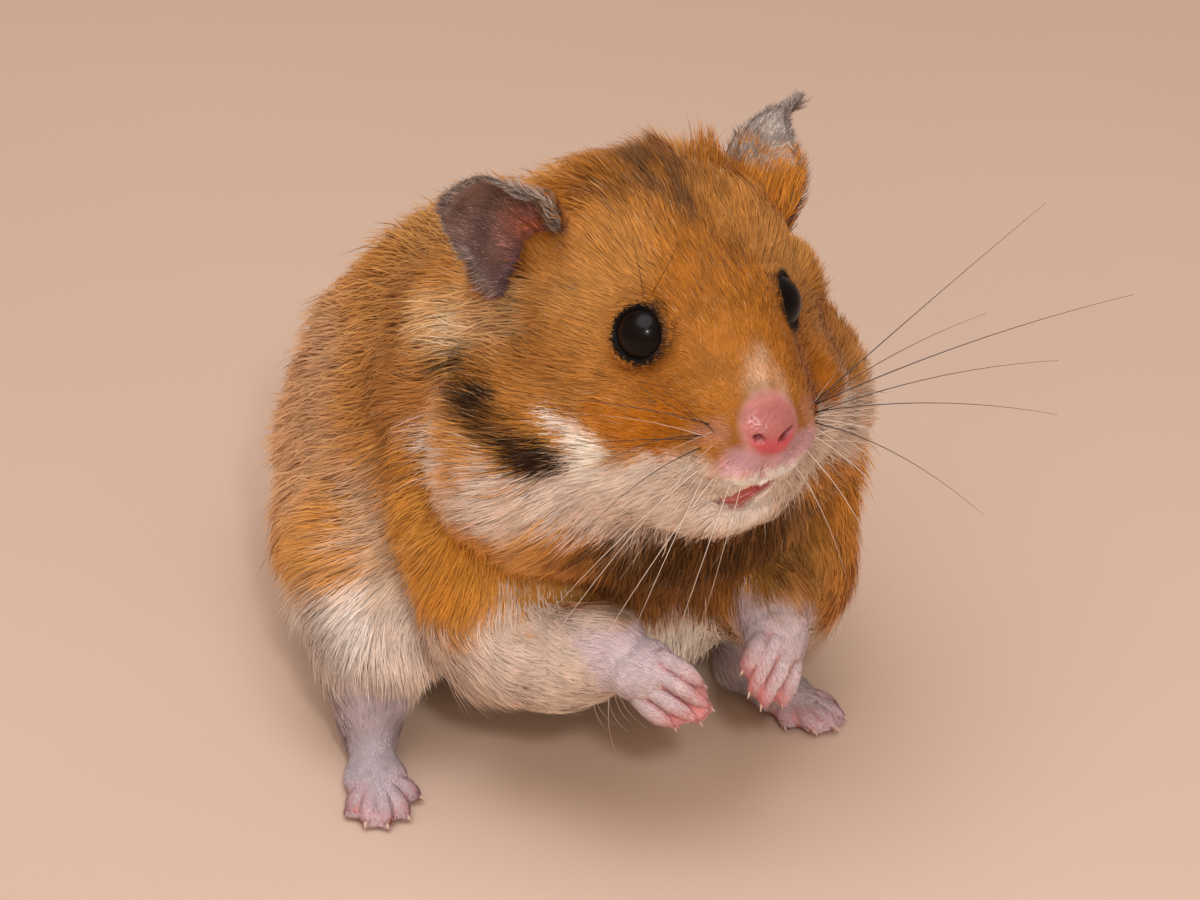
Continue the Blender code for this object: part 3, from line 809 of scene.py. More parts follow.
BREAST_EDGES = (((-9.5, -37, 24, 5.2), (-17, -28, 17, 4.8)), ((12, -34, 20, 4.6), (18, -26, 14, 4)))
LEG_MARKS_AND_SHOULDER_SHADE = (
    # painted shade: the left shoulder is darkened where the cheek shades it
    (0.60, 0, False, 4, "#6E4416", ((14, -28, 36, 3), (17, -27.5, 27, 4))),
    (0.75, 53, False, 3.5, GREY_LEG, ((-28, -3, 15.5, 3.0), (-27, -8, 12, 4.5), (-26, -11, 6.5, 3.5))),
    (0.75, 53, False, 3.5, GREY_LEG, ((26, -5, 15, 3.0), (22, -8, 11, 4.5), (19, -13, 6, 3.5))),
    (1.00, 0, False, 2.4, "#C8B8BC", ((-26, -12, 5, 4), (-28, -19, 2, 6))),
    (1.00, 0, False, 2.4, "#C8B8BC", ((19, -15, 5, 4), (22.5, -22, 2, 6))),
    (1.00, 0, False, 2.4, LAVENDER, ((-9.0, -38.0, 24.4, 2.6), (-6.5, -40.5, 24.0, 4.2), (-2.5, -44.5, 20.5, 4.2))),
    (1.00, 0, False, 2.4, LAVENDER, ((11.3, -37.6, 20.6, 3.8), (8.0, -39.5, 17.0, 4.2))),
)
FLASH_LINE = ((-17.3, 30, -13.2, 0.5), (-18.3, 24, -11.6, 1.3), (-19.5, 18.5, -10.8, 1.6), (-21.0, 12.5, -9.8, 1.7),
              (-22.0, 8.5, -10.3, 1.8), (-21.4, 5.6, -11.2, 1.4), (-19.8, 3.0, -12.4, 0.6), (-18.2, 1.4, -14.0, 0.1))
FACE_MARKS = (
    # temples, and the smoke of the crown
    (0.50, 0, True, 6, "#C48A48", ((13, 2, 4, 2), (17, 10, -1, 4), (16, 1, -3, 3))),
    (0.30, 0, True, 5, GOLD, ((9, 7, 9, 3), (12, 9, 5, 3))),
    (0.92, 51, False, 2.4, SMOKE, ((1.4, 17.5, 12, 2.6), (1.0, 13, 12.3, 2.8), (1.4, 9.5, 11.2, 1.3),
                                   (1.2, 6.8, 9.8, 0.3))),
    (0.45, 51, False, 2.4, SMOKE, ((-5.5, 15, 11.5, 1.6), (-5, 11.5, 11.2, 0.8))),
    (0.45, 51, False, 2.4, SMOKE, ((7, 14, 11, 1.6), (6, 11, 10.8, 0.6))),
    (0.50, 51, False, 2.4, SMOKE, ((3.4, 4, 8.2, 0.3), (3.0, 1.6, 6.9, 0.2))),
    (0.50, 0, False, 5, BROWN, ((0, 30, 8, 3), (0, 23, 11, 3))),
    # orange cheek
    (0.85, 0, True, 1.8, "#B66812", ((14.0, -0.2, -6.9, 1.0), (12, -3, -8, 2.0), (9.7, -5.3, -8.0, 2.2),
                                     (8.0, -7, -6.3, 1.2))),
    (0.35, 0, True, 2.0, "#A8621E", ((12.5, 0, -3.5, 1), (9, -4, -4, 1))),
    # cream of the cheek, the ruff and the chin
    (1.00, 0, True, 2.0, CREAM, ((3.5, -11, -12, 1.6), (7.5, -7.5, -12.4, 2.2), (12, -3.5, -15.8, 4.0),
                                 (17, 2.5, -17.0, 4.2), (21.5, 10, -18.2, 4.4), (21, 18, -20.5, 3.8),
                                 (19.6, 25, -22.6, 2.4), (18.6, 30, -23.5, 0.9))),
    (1.00, 0, False, 2.0, CREAM, ((0, -10.5, -12.5, 2.2), (0, -8.5, -17, 5), (0, -1, -20, 5.5), (9, 1, -20, 5.5))),
    (1.00, 0, False, 2.0, CREAM, ((-9, 1, -20, 5.5), (0, -1, -20, 5.5))),
    (1.00, 0, True, 2.0, CREAM, ((6, -7.5, -17.5, 2.6), (11, -2, -20, 3.6))),
    (0.70, 0, True, 2.4, PALE_GOLD, ((21, 14, -13, 1.2), (20, 20, -15.5, 1.2), (18.5, 27, -18, 1.0))),
    # white crescent and dark flash
    (0.95, 0, False, 1.2, "#F4E4D4", ((-16.7, 4.4, -6.8, 0.3), (-16.7, 2.4, -8.4, 0.75), (-16.2, 0.5, -10.2, 1.1),
                                      (-15.2, -1.4, -12, 1.6))),
    (1.00, 0, False, 1.5, CREAM, ((15.6, 1.6, -11.6, 0.5), (14.8, -1.4, -13, 1.6))),
    (0.75, 0, False, 2.6, "#96622C", FLASH_LINE),
    (1.10, 51, False, 1.8, FLASH, FLASH_LINE),
    (0.85, 51, False, 2.2, FLASH, ((20.5, 11, -11.5, 0.4), (21.2, 14, -10.5, 1.4), (20.0, 22, -10.0, 0.8))),
    # blond tuft behind the ear, and the throat under the head, darker as partly brown fur and partly painted shade
    (0.80, 51, True, 3.0, "#ECC48C", ((16.6, 13.5, -0.4, 1.2), (17.6, 19.5, -4.4, 2.1), (18.0, 26, -7.0, 2.3),
                                      (17.2, 33, -10.4, 1.6))),
    (0.90, 57, True, 1.8, "#F2D6B0", ((17.4, 18.5, -5.4, 0.8), (18.2, 26, -8.4, 1.3))),
    (0.85, 51, True, 2.6, THROAT_BROWN_AND_SHADE, ((16.4, 2.6, -25.6, 0.8), (10.8, 2.8, -28.0, 1.8), (4.0, 2.0, -30.6, 2.6),
                                   (0, 1.0, -31.5, 2.6))),
)
MUZZLE_MARKS = (
    (0.40, 55, False, 2.6, "#E8C8AC", ((1.2, -7.8, -1.0, 0.1), (0.9, -9.3, -2.4, 0.8), (0.6, -10.8, -3.6, 1.0))),
    (0.85, 0, False, 1.6, LILAC, ((-4.4, -11.5, -9.8, 0.8), (-1.0, -12.7, -9.8, 1.1), (2.8, -12.4, -9.8, 1.0),
                                  (5.2, -11.1, -9.6, 0.6))),
    (0.80, 0, False, 0.9, "#F8EEE6", ((-4.8, -11.2, -13.0, 0.6), (-3.0, -12.3, -12.4, 0.7), (-0.8, -12.9, -12.3, 0.6),
                                      (1.7, -12.6, -12.5, 0.8), (5.6, -11.2, -12.8, 0.7))),
    (0.20, 0, True, 1.4, LILAC, ((5, -10, -6.8, 0.8), (6.4, -8.8, -7.2, 0.5))),
)
BELLY_LINE = ((-45, -30, -20, -11, -4, 2, 8, 14, 24, 36, 52), (17, 18, 18, 19, 18, 14, 12, 10.5, 9.5, 8, 7))


def coat_colour(points):
    """The coat's colour at each point, in linear light."""
    warp = np.stack([ripple(points, 9.0, seed) + 0.5 * ripple(points, 4.0, seed + 3) for seed in (21, 22, 23)], 1)
    spots = points + 0.75 * warp
    x, y, z = spots.T
    streaks = {0: 1.0, **{seed: streak(points, seed) for seed in (51, 53, 55, 57)}}
    colours = np.tile(linear(GOLD), (len(points), 1))

    def mark(rows, stroke_in_frame, places=spots):
        for strength, seed, both, soft, colour, stations in rows:
            paint(colours, strength * streaks[seed] * stroke_in_frame(places, stations, soft, both), colour)

    paint(colours, 0.35 + 0.2 * ripple(spots, 16, 31), ORANGE)
    paint(colours, 0.42 * streaks[51] * eased((z - 38) / 16) * eased((y + 4) / 14), BROWN)
    mark(BACK_MARKS, body_stroke)
    # cream belly, with a pale belt that rises between shoulder and haunch
    edge = np.interp(y, *BELLY_LINE) - 3.0 * eased((x - 6) / 6) * eased((-8 - y) / 6)
    paint(colours, eased((edge + 1.0 * ripple(spots, 14, 41) - z) / 4.0 + 0.5), "#FDEEE2")
    mark(BELT_AND_ARMS, body_stroke)
    # dark breast between the arms
    breast = eased((13 - np.abs(x - MIDLINE)) / 5) * eased((-14 - y) / 5) * eased((z - 15) / 5) * eased((46 - z) / 5)
    breast *= 0.85
    for stations in BREAST_EDGES:
        breast = breast * (1 - stroke(spots, stations, 2.0))
    paint(colours, breast, "#8A5822")
    mark(LEG_MARKS_AND_SHOULDER_SHADE, body_stroke)
    # pink clefts between the fingers, pink tips and tail
    for knuckles, tips in zip(KNUCKLES.values(), FORE_TIPS.values()):
        knuckles, tips = np.array(knuckles), np.array(tips)
        for first, second, first_tip, second_tip in zip(knuckles, knuckles[1:], tips, tips[1:]):
            cleft = ((*((first + second) / 2), 0.12), (*((first_tip + second_tip) / 2), 0.38))
            paint(colours, 0.85 * stroke(points, cleft, 0.6), PINK)
        paint(colours, 0.7 * near(points, tips, 2.2), PINK)
    for tips in HIND_TIPS.values():
        paint(colours, 0.35 * near(points, tips, 2.4), PINK)
    paint(colours, near(points, TAIL, 7), "#DDB3A2")
    # head
    _, back, up = in_head(spots).T
    paint(colours, 0.80 * eased((back + 16) / 3) * eased((24 - back) / 6) * eased((up + 14) / 8), "#A25C0E")
    mark(FACE_MARKS, head_stroke)
    mark(MUZZLE_MARKS, head_stroke, points)
    paint(colours, 0.85 * eased((1.42 - nose_distance(points)) / 0.45), "#E4A49A")
    for eye, outwards in ((EYES["right"], 1), (EYES["left"], -1)):
        corner = apart(points - eye, head_way((0.8 * outwards, -2.2, -3.0)))
        brow = apart(points - eye, head_way((0.4 * outwards, -1.0, 3.6)))
        rim = np.maximum(eased((4.1 - apart(points, eye)) / 0.7), eased((1.9 - corner) / 1.2))
        paint(colours, 0.9 * rim, "#1C110C")
        paint(colours, 0.55 * eased((1.6 - brow) / 1.2), "#2A1A12")
    return colours


print(sum(map(len, (BACK_MARKS, BELT_AND_ARMS, LEG_MARKS_AND_SHOULDER_SHADE, FACE_MARKS, MUZZLE_MARKS))), "marks in the tables")


# %% [markdown]
# Where the coat is thin or missing the skin itself shows: the pink nose pad with its dark nostrils, the red of
# the mouth, black lids, pink grooves between the fingers, pink toes and tail, and the smoky skin of the ears.

# %% Colour of the skin
skin_points, skin_normals = places_of(skin.data), read(skin.data.vertex_normals, "vector", 3)


def nose_amount(points):
    """1 on the bare nose pad, fading to 0 just outside it."""
    return eased((1.10 - nose_distance(points)) / 0.25)


def skin_colour(points):
    colours = coat_colour(points) * 0.72
    for middles, reach, strength in ((FORE_TIPS, 4.2, 1.2), (HIND_TIPS, 5.0, 0.75)):
        for paw in middles.values():
            paint(colours, strength * near(points, paw, reach), PINK)
    paint(colours, near(points, TAIL, 7), PINK)
    feet = near(points, [*SOLES.values(), *HIND_TIPS["left"], *HIND_TIPS["right"]], 6.0)
    paint(colours, 1.6 * feet * eased((1.5 - points[:, 2]) / 0.5), "#9C4A3E")
    paint(colours, 0.9 * near(points, [on_head((-0.6, -12.5, -10.0))], 3.6), "#CC9A9C")
    low = in_head(points)[:, 2]
    paint(colours, eased((1.30 - nose_distance(points)) / 0.45), "#B46A64")
    paint(colours, 0.9 * nose_amount(points) * eased((low + 6.6) / -1.6), "#CC4C56")
    paint(colours, 0.55 * nose_amount(points) * eased((low + 4.8) / 1.6), "#D8A08C")
    paint(colours, 0.7 * pressed["groove"], "#B0484A")
    paint(colours, 1.1 * pressed["nostrils"], "#6A161E")
    paint(colours, 0.6 * pressed["lip_split"], DEEP_PINK)
    paint(colours, 1.6 * pressed["mouth"], "#C2665C")
    paint(colours, 0.6 * head_stroke(points, MOUTH[3:5], 0.6, both=False) * pressed["mouth"], "#9C3A3C")
    for eye in EYES.values():
        paint(colours, eased((4.0 - apart(points, eye)) / 0.4), LID_BLACK)
    return colours


skin_colours = skin_colour(skin_points)
ear_p, ear_q, ear_side = (np.zeros(len(skin_points)) for _ in range(3))
for side in ("right", "left"):
    start, end = ranges["ear_" + side]
    _, p, q, face_side, _ = EARS[side]
    ear_p[start:end], ear_q[start:end], ear_side[start:end] = p, q, face_side
on_ear = ear_side != 0
inner = np.tile(linear("#7C6058"), (len(skin_points), 1))
paint(inner, 0.8 * np.exp(-((ear_p - 0.05) / 0.42) ** 2) * eased((0.35 - ear_q) / 0.8), "#A45E4A")
paint(inner, 0.6 * eased((-0.05 - ear_p) / 0.4) * eased((-0.1 - ear_q) / 0.5), "#5E4454")
paint(inner, 0.25 + 0.30 * ripple(skin_points, 4, 61), "#54403C")
paint(inner, 0.6 * eased((np.maximum(np.abs(ear_p), ear_q) - 0.80) / 0.15), "#9C8C82")
paint(inner, 0.8 * eased((ear_p - 0.52) / 0.22), "#A39488")
outer = np.tile(linear("#988A80"), (len(skin_points), 1))
paint(outer, 0.30 + 0.30 * ripple(skin_points, 3, 62), "#70625A")
paint(outer, 0.9 * eased((-0.15 - ear_q + 0.15 * ripple(skin_points, 3, 63)) / 0.5), "#B87428")
skin_colours[on_ear] = np.where((ear_side > 0)[:, None], inner, outer)[on_ear]
print("skin colours from", skin_colours.min(0).round(3), "to", skin_colours.max(0).round(3))

# %% [markdown]
# The skin gets one unwrap of its own shape. The coat's patches are laid out on it later, so that each tuft's
# colour is found at its root's place.

# %% Unwrap the skin
bpy.context.view_layer.objects.active = skin
skin.select_set(True)
bpy.ops.object.mode_set(mode="EDIT")
bpy.ops.mesh.select_all(action="SELECT")
bpy.ops.uv.smart_project(angle_limit=math.radians(72), island_margin=0.004, area_weight=0.4)
bpy.ops.object.mode_set(mode="OBJECT")
skin.data.uv_layers[0].name = "OFBake"


def give_colours(mesh, colours):
    """Stores a linear colour at each vertex, for the materials to read."""
    layer = mesh.color_attributes.new("coat_colour", "FLOAT_COLOR", "POINT")
    values = np.ones((len(colours), 4))
    values[:, :3] = np.clip(colours, 0, 1)
    layer.data.foreach_set("color", values.ravel())


give_colours(skin.data, skin_colours)
print("skin unwrapped,", len(skin.data.polygons), "faces")

# %% [markdown]
# ## Finishes
# Fur is a fine, dry fibre: it scatters light softly, with a faint sheen where light grazes it. Living skin is
# smoother, with a fine grain, and the nose pad is moist. Colours come from the painted markings, broken up by
# noise at the size of single hairs and of clumps.

# %% Fur and skin materials
def fur_material(name):
    """Dry animal fibre: rough, with a grazing sheen and streaks at the width of a few hairs."""
    made = new_material(name)
    return surfaced(made, [("Base Color", painted(made, 420.0, 3.0, 0.86, 1.12), "Vector")], Roughness=0.75,
                    Sheen_Weight=0.05, Sheen_Roughness=0.4, IOR=1.45, Specular_IOR_Level=0.18)


def skin_material(name):
    """Bare and thinly haired skin: soft, with a grain of fine creases and a moist nose and mouth."""
    made = new_material(name)
    moist = add_node(made, "ShaderNodeAttribute", settings={"attribute_name": "moist"})
    rough = add_node(made, "ShaderNodeMapRange", [("Value", moist, "Fac")], To_Min=0.65, To_Max=0.24)
    gloss = add_node(made, "ShaderNodeMapRange", [("Value", moist, "Fac")], To_Min=0.12, To_Max=0.6)
    creases = pattern(made, "ShaderNodeTexVoronoi", {"feature": "SMOOTH_F1"}, Scale=2600.0)
    bump = add_node(made, "ShaderNodeBump", [("Height", creases, "Distance")], Strength=0.6, Distance=0.00012)
    return surfaced(made, [("Base Color", painted(made, 600.0, 4.0, 0.85, 1.1), "Vector"),
                           ("Roughness", rough, "Result"), ("Specular IOR Level", gloss, "Result"),
                           ("Normal", bump, "Normal")],
                    Subsurface_Weight=0.12, Subsurface_Radius=(0.0012, 0.0005, 0.0003), Subsurface_Scale=1.0)


moist = skin.data.attributes.new("moist", "FLOAT", "POINT")
moist.data.foreach_set("value", np.clip(0.85 * nose_amount(skin_points) + pressed["mouth"], 0, 1))
living_skin, coat_fibre = skin_material("living_skin"), fur_material("short_plush_fur")
skin.data.materials.clear()
skin.data.materials.append(living_skin)
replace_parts(skin, *FLESH, "ear_left", "ear_right")
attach(skin, "root")
print("materials", living_skin.name, "and", coat_fibre.name)

# %% [markdown]
# ## Growing the coat
# Each tuft is a thin tapering blade of three triangles: it leaves the skin at the lift of its place and bends
# over to lie with the coat. Hundreds of thousands of them are made at once as joined meshes from arrays. Roots
# are spread over the skin by area, closer together where the hair is short. Neighbours lean towards a common
# tip, which gives the coat its locks, and every hair is a little different in length, lift, way and shade.

# %% Roots of the tufts
TUFTS = 480_000
chance = np.random.default_rng(17)
length, lift, way = coat_at(skin_points)
for side in ("right", "left"):
    start, end = ranges["ear_" + side]
    _, p, q, face_side, lie = EARS[side]
    rim = eased((np.maximum(np.abs(p), q) - 0.8) / 0.15)
    root_part = eased((0.05 - q) / 0.7)
    length[start:end] = 1.15 + 0.5 * rim + (3.4 if side == "left" else 2.2) * root_part * (face_side < 0)
    length[start:end] += 0.9 * eased((p - 0.5) / 0.2) * (face_side > 0)
    lift[start:end] = 15 + 12 * root_part + 14 * rim
    way[start:end] = lie
start, end = ranges["digits"]
length[start:end], lift[start:end] = 0.95, 14

# bare at the nose, in the mouth, on the lids and under the feet, and thin on ears, fingers and the nose's bridge
upper = eased((in_head(skin_points)[:, 2] + 6.4) / 2.4)
bare = (0.94 - 0.55 * upper) * nose_amount(skin_points) + eased((pressed["mouth"] - 0.2) / 0.3)
bare = np.clip(bare + 2 * pressed["nostrils"], 0, 1)
for eye in EYES.values():
    bare = np.maximum(bare, eased((3.45 - apart(skin_points, eye)) / 0.3))
    length *= 1 - 0.45 * eased((4.3 - apart(skin_points, eye)) / 0.8)
length = np.where(nose_distance(skin_points) < 1.2, 0.38, length)
length *= 1 - 0.5 * head_stroke(skin_points, MOUTH, 0.9, both=False)
growth = (1 - bare) * (1 - eased((0.9 - skin_points[:, 2]) / 0.3))
growth[on_ear & (ear_side > 0)] *= 0.45
growth[ranges["digits"][0]:] *= 0.55
growth *= 1 + 0.5 * near(skin_points, [on_head((0, 0, -4))], 26)


def blade_width(length):
    return 0.062 + 0.0072 * length


mesh = skin.data
mesh.calc_loop_triangles()
triangles = mesh.loop_triangles
count = len(triangles)
corners, loops = read(triangles, "vertices", 3, int), read(triangles, "loops", 3, int)
areas, uv = read(triangles, "area", 1), read(mesh.uv_layers["OFBake"].data, "uv", 2)
wanted = areas * (growth / (length * blade_width(length)))[corners].mean(1)
steps = np.cumsum(wanted) / wanted.sum() * TUFTS
picked = np.searchsorted(steps, (np.arange(TUFTS) + chance.uniform(0, 1, TUFTS)) * (1 - 1e-9))
picked = np.minimum(picked, count - 1)
share = chance.uniform(0, 1, (TUFTS, 2))
share = np.where(share.sum(1, keepdims=True) > 1, 1 - share, share)
share = np.column_stack([1 - share.sum(1), share])


def at_roots(values):
    """A vertex value carried to the roots by where each lies in its triangle."""
    taken = values[corners[picked]]
    return (taken * (share if values.ndim == 1 else share[:, :, None])).sum(1)


root, outward = at_roots(skin_points), unit(at_roots(skin_normals))
root_uv = (uv[loops[picked]] * share[:, :, None]).sum(1)
root_length, root_lift, root_way = at_roots(length), at_roots(lift), unit(at_roots(way))
root_ear = at_roots(np.abs(ear_side)) > 0.5
print(TUFTS, "tufts on", round(areas.sum() * 1e6), "square mm of skin")

# %% Shape of each tuft
ROOT_DEPTH, LEAST_HEIGHT = 0.12, 0.12


def any_of(spread):
    return chance.normal(0, spread, TUFTS)


length = root_length * np.exp(any_of(0.13)) * (1 + 0.10 * ripple(root, 11, 71))
lift = np.radians(root_lift + any_of(4.5) + 3.5 * ripple(root, 6, 72))
sunk = root - outward * ROOT_DEPTH
along = root_way - outward * dot(root_way, outward)[:, None]
along = unit(along + 1e-6)
across = np.cross(outward, along)
swing = np.radians(8) * any_of(1.0) + np.radians(7) * ripple(root, 9, 73) + np.radians(5) * ripple(root, 2.6, 74)
along = along * np.cos(swing)[:, None] + across * np.sin(swing)[:, None]
across = np.cross(outward, along)
bend = np.maximum(lift - math.radians(BEND), math.radians(-6))
middle = sunk + (along * np.cos(lift)[:, None] + outward * np.sin(lift)[:, None]) * (length / 2)[:, None]
tip = middle + (along * np.cos(bend)[:, None] + outward * np.sin(bend)[:, None]) * (length / 2)[:, None]


def gathered(tips, size, pull, seed):
    """Draws the tips of each little neighbourhood towards their common place, as locks of hair do."""
    warp = np.stack([ripple(root, size * 3, seed + step) for step in range(3)], 1) * size * 0.6
    cell = np.floor((root + warp) / size[:, None] if np.ndim(size) else (root + warp) / size).astype(np.int64)
    _, group = np.unique(cell @ np.array((1, 4096, 16777216)), return_inverse=True)
    members = np.bincount(group)
    mean = np.stack([np.bincount(group, weights=tips[:, axis]) / members for axis in range(3)], 1)
    return tips + (mean[group] - tips) * pull[:, None]


long_coat = eased((length - 2.2) / 3.0)
tip = gathered(tip, 1.3, 0.22 * long_coat, 81)
tip = gathered(tip, 0.7, 0.20 * (1 - long_coat) * (length > 1.0), 91)
middle = (middle + (sunk + tip) / 2 * 0.25) / 1.25
tip[:, 2], middle[:, 2] = np.maximum(tip[:, 2], LEAST_HEIGHT), np.maximum(middle[:, 2], LEAST_HEIGHT + 0.03)

# the blade's face looks out of the coat, rolled a little either way
roll = np.clip(any_of(0.6), -1.1, 1.1)
flat = unit(np.cross(unit(tip - sunk), outward))
edge = flat * np.cos(roll)[:, None] + unit(np.cross(flat, unit(tip - sunk))) * np.sin(roll)[:, None]
width = blade_width(length) * np.exp(any_of(0.15))
blades = np.empty((TUFTS, 5, 3))
blades[:, 0], blades[:, 1] = sunk + edge * (width / 2)[:, None], sunk - edge * (width / 2)[:, None]
blades[:, 2], blades[:, 3] = middle + edge * (width * 0.40)[:, None], middle - edge * (width * 0.40)[:, None]
blades[:, 4] = tip
print("hair lengths", length.min().round(2), "to", length.max().round(2), "mm")

# %% Shade of each tuft
seen = root + (middle - root) * 0.5 + (tip - root) * 0.5
seen = seen + chance.normal(0, 1, (TUFTS, 3)) * (0.15 + 0.07 * length)[:, None]
shade = coat_colour(seen)
on_ears = root_ear[:, None]
ear_shade = at_roots(skin_colours) * np.exp(any_of(0.35) + 0.25)[:, None]
gold_line = at_roots(ear_q) + 0.15 * ripple(root, 2.5, 64)
gilded = (at_roots(ear_side) < 0) & (chance.uniform(-0.35, 0.45, TUFTS) > gold_line)
ear_shade = np.where(gilded[:, None], linear("#B87428") * np.exp(any_of(0.25))[:, None], ear_shade)
shade = np.where(on_ears, ear_shade, shade)
warm = (shade[:, 0] - shade[:, 2]) / (shade[:, 0] + 1e-6)
golden = eased((warm - 0.45) / 0.25) * ~root_ear
on_face = near(root, [on_head((0, 2, 0))], 24)
shade = shade * (1.10 * np.exp(any_of(0.06) * (0.8 + on_face)))[:, None]
ticked = (chance.uniform(0, 1, TUFTS) < (0.07 + 0.09 * on_face) * golden * (root_length > 1.4)) * 1.0
ghost = (chance.uniform(0, 1, TUFTS) < 0.06 * golden) * 1.0
colours = np.empty((TUFTS, 5, 3))
# roots painted darker and tips lighter, as painted shade deep in the coat and in part the darker under-fur
colours[:, 0] = colours[:, 1] = shade * 0.80
colours[:, 2] = colours[:, 3] = shade * 1.02
colours[:, 4] = shade * 1.14
colours[:, 4] += (linear("#3A2A20") - colours[:, 4]) * (0.9 * ticked)[:, None]
colours[:, 2] = colours[:, 3] = colours[:, 2] + (linear("#4A3020") - colours[:, 2]) * (0.45 * ticked)[:, None]
colours[:, 4] += (linear("#F0D8B4") - colours[:, 4]) * (0.7 * ghost)[:, None]
colours = np.clip(colours, 0, 1)
print("shades of the coat from", colours.min((0, 1)).round(3), "to", colours.max((0, 1)).round(3))

# %% Join the tufts into pieces
PATCH = 0.0015 * np.array([(-1, -1), (1, -1), (-0.9, 0.3), (0.9, 0.3), (0, 1)])
MOST_TUFTS = 64_000


def coat_piece(name, members):
    """One mesh of many tufts, with their patches on the skin's unwrap and their shades."""
    count = len(members)
    data = bpy.data.meshes.new(name)
    data.vertices.add(count * 5)
    data.vertices.foreach_set("co", (blades[members] * MM).ravel())
    first = np.arange(count)[:, None] * 5
    order = (first + np.array((1, 0, 2, 3, 3, 2, 4))).ravel()
    data.loops.add(count * 7)
    data.loops.foreach_set("vertex_index", order)
    data.polygons.add(count * 2)
    starts = (np.arange(count)[:, None] * 7 + np.array((0, 4))).ravel()
    data.polygons.foreach_set("loop_start", starts)
    data.polygons.foreach_set("use_smooth", np.ones(count * 2, bool))
    data.update(calc_edges=True)
    patch = (root_uv[members][:, None, :] + PATCH).reshape(-1, 2)
    data.uv_layers.new(name="OFBake").data.foreach_set("uv", patch[order].ravel())
    give_colours(data, colours[members].reshape(-1, 3))
    soft = unit(np.repeat(outward[members], 5, axis=0) + np.repeat(unit(tip - sunk)[members], 5, axis=0) * 0.15
                + np.repeat(unit(np.cross(edge, tip - sunk))[members], 5, axis=0) * 0.25)
    data.normals_split_custom_set_from_vertices(soft)
    shown(name, data, coat_fibre)


head_part = eased((in_head(root)[:, 1] + 40) / 1) * (root[:, 1] < -12) * (in_head(root)[:, 2] > -27) > 0.5
pale = dot(shade, np.array((0.2, 0.5, 0.3))) > 0.42
groups = (("head_coat", "golden_coat", head_part & ~pale & ~root_ear),
          ("body_coat", "golden_coat", ~head_part & ~pale & ~root_ear),
          ("pale_coat", "white_coat", pale & ~root_ear), ("ear_down", "ear_skin", root_ear))
for name, slot, belongs in groups:
    members = np.nonzero(belongs)[0]
    members = members[np.argsort(root[members, 1] + 3 * ripple(root[members], 8, 5))]
    parts = max(1, math.ceil(len(members) / MOST_TUFTS))
    for number, part in enumerate(np.array_split(members, parts), 1):
        coat_piece(f"{name}_{number}", part)
print("coat of", 3 * TUFTS, "triangles")

# %% [markdown]
# ## Eyes
# The eye is a nearly black ball with a clear, wet surface. It is one smooth sphere that fills the lids. Its soft
# reflection is the overhead panel's, and its bright point is the eye lamp's.

# %% Eyes
eye_black = new_material("wet_black_eye")
surfaced(eye_black, [("Base Color", two_tones(eye_black, 250.0, 2.0, "#080504", "#120A07"), 2)], Roughness=0.3,
         IOR=1.34, Specular_IOR_Level=0.2, Coat_Weight=0.26, Coat_Roughness=0.04, Coat_IOR=1.28)
for side, middle in EYES.items():
    ball = bmesh.new()
    bmesh.ops.create_uvsphere(ball, u_segments=48, v_segments=32, radius=EYE_RADIUS * MM,
                              matrix=Matrix.Translation(Vector(middle) * MM))
    name = "ball_of_" + side + "_eye"
    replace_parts(shown(name, mesh_of(ball, name), eye_black), "eye_" + side)
print("two eyes of", round(2 * EYE_RADIUS, 2), "mm")

# %% [markdown]
# ## Claws and whiskers
# Claws are small bent cones of clear horn at the end of each finger and toe. Whiskers are stiff, tapering hairs:
# the black ones fan out from the pads beside the nose, and long fine pale ones hang from the lip and chin.

# %% Horn and whisker materials
def hair_or_horn(name, scale, detail, first_hex, second_hex, roughness, ior):
    """A smooth, hard growth in two near colours."""
    made = new_material(name)
    tones = two_tones(made, scale, detail, first_hex, second_hex)
    return surfaced(made, [("Base Color", tones, 2)], Roughness=roughness, IOR=ior)


horn = hair_or_horn("clear_horn_claw", 1500.0, 2.0, "#E3C9B4", "#C9A48E", 0.3, 1.54)
black_whisker = hair_or_horn("black_whisker_hair", 90.0, 1.0, "#1A120E", "#3A2A20", 0.35, 1.55)
pale_whisker = hair_or_horn("pale_whisker_hair", 90.0, 1.0, "#D8C4B0", "#E6D6C6", 0.35, 1.55)


def tube_piece(name, material, tubes):
    """One joined piece of many tubes, each given as (path, radii, sides)."""
    mesh = bmesh.new()
    for path, radii, sides in tubes:
        tube(mesh, path, radii, sides)
    shown(name, mesh_of(mesh, name), material)
    print(name, "has", len(tubes), "hairs or claws")


print("materials", horn.name, black_whisker.name, pale_whisker.name)


# %% Claws
claws = []
for tips, bases in ((FORE_TIPS, PALMS), (HIND_TIPS, SOLES)):
    for side in ("right", "left"):
        for tip_place in tips[side]:
            tip_place = np.array(tip_place)
            onward = unit(tip_place - np.array(bases[side]))
            if tips is HIND_TIPS:
                onward = unit(onward * (1, 1, 0))
            start = tip_place - onward * 0.5 + (0, 0, 0.1)
            end = tip_place + onward * 0.75 - (0, 0, 0.25)
            path = bent(start, tip_place + onward * 0.4 + (0, 0, 0.15), end, 7)
            path[:, 2] = np.maximum(path[:, 2], 0.1)
            claws.append((path, (0.22, 0.25, 0.23, 0.18, 0.13, 0.08, 0.03), 8))
tube_piece("claws", horn, claws)

# %% Whiskers
chance = np.random.default_rng(29)
TAPER = np.linspace(1.0, 0.22, 12)


def whisker(start, sag, end, thickness, on=on_head):
    """A hair from the pad to its tip, bowed by the sag at its middle."""
    start, end = on(start), on(end)
    return bent(start, (start + end) / 2 + np.array(sag), end, len(TAPER)), thickness * TAPER, 5


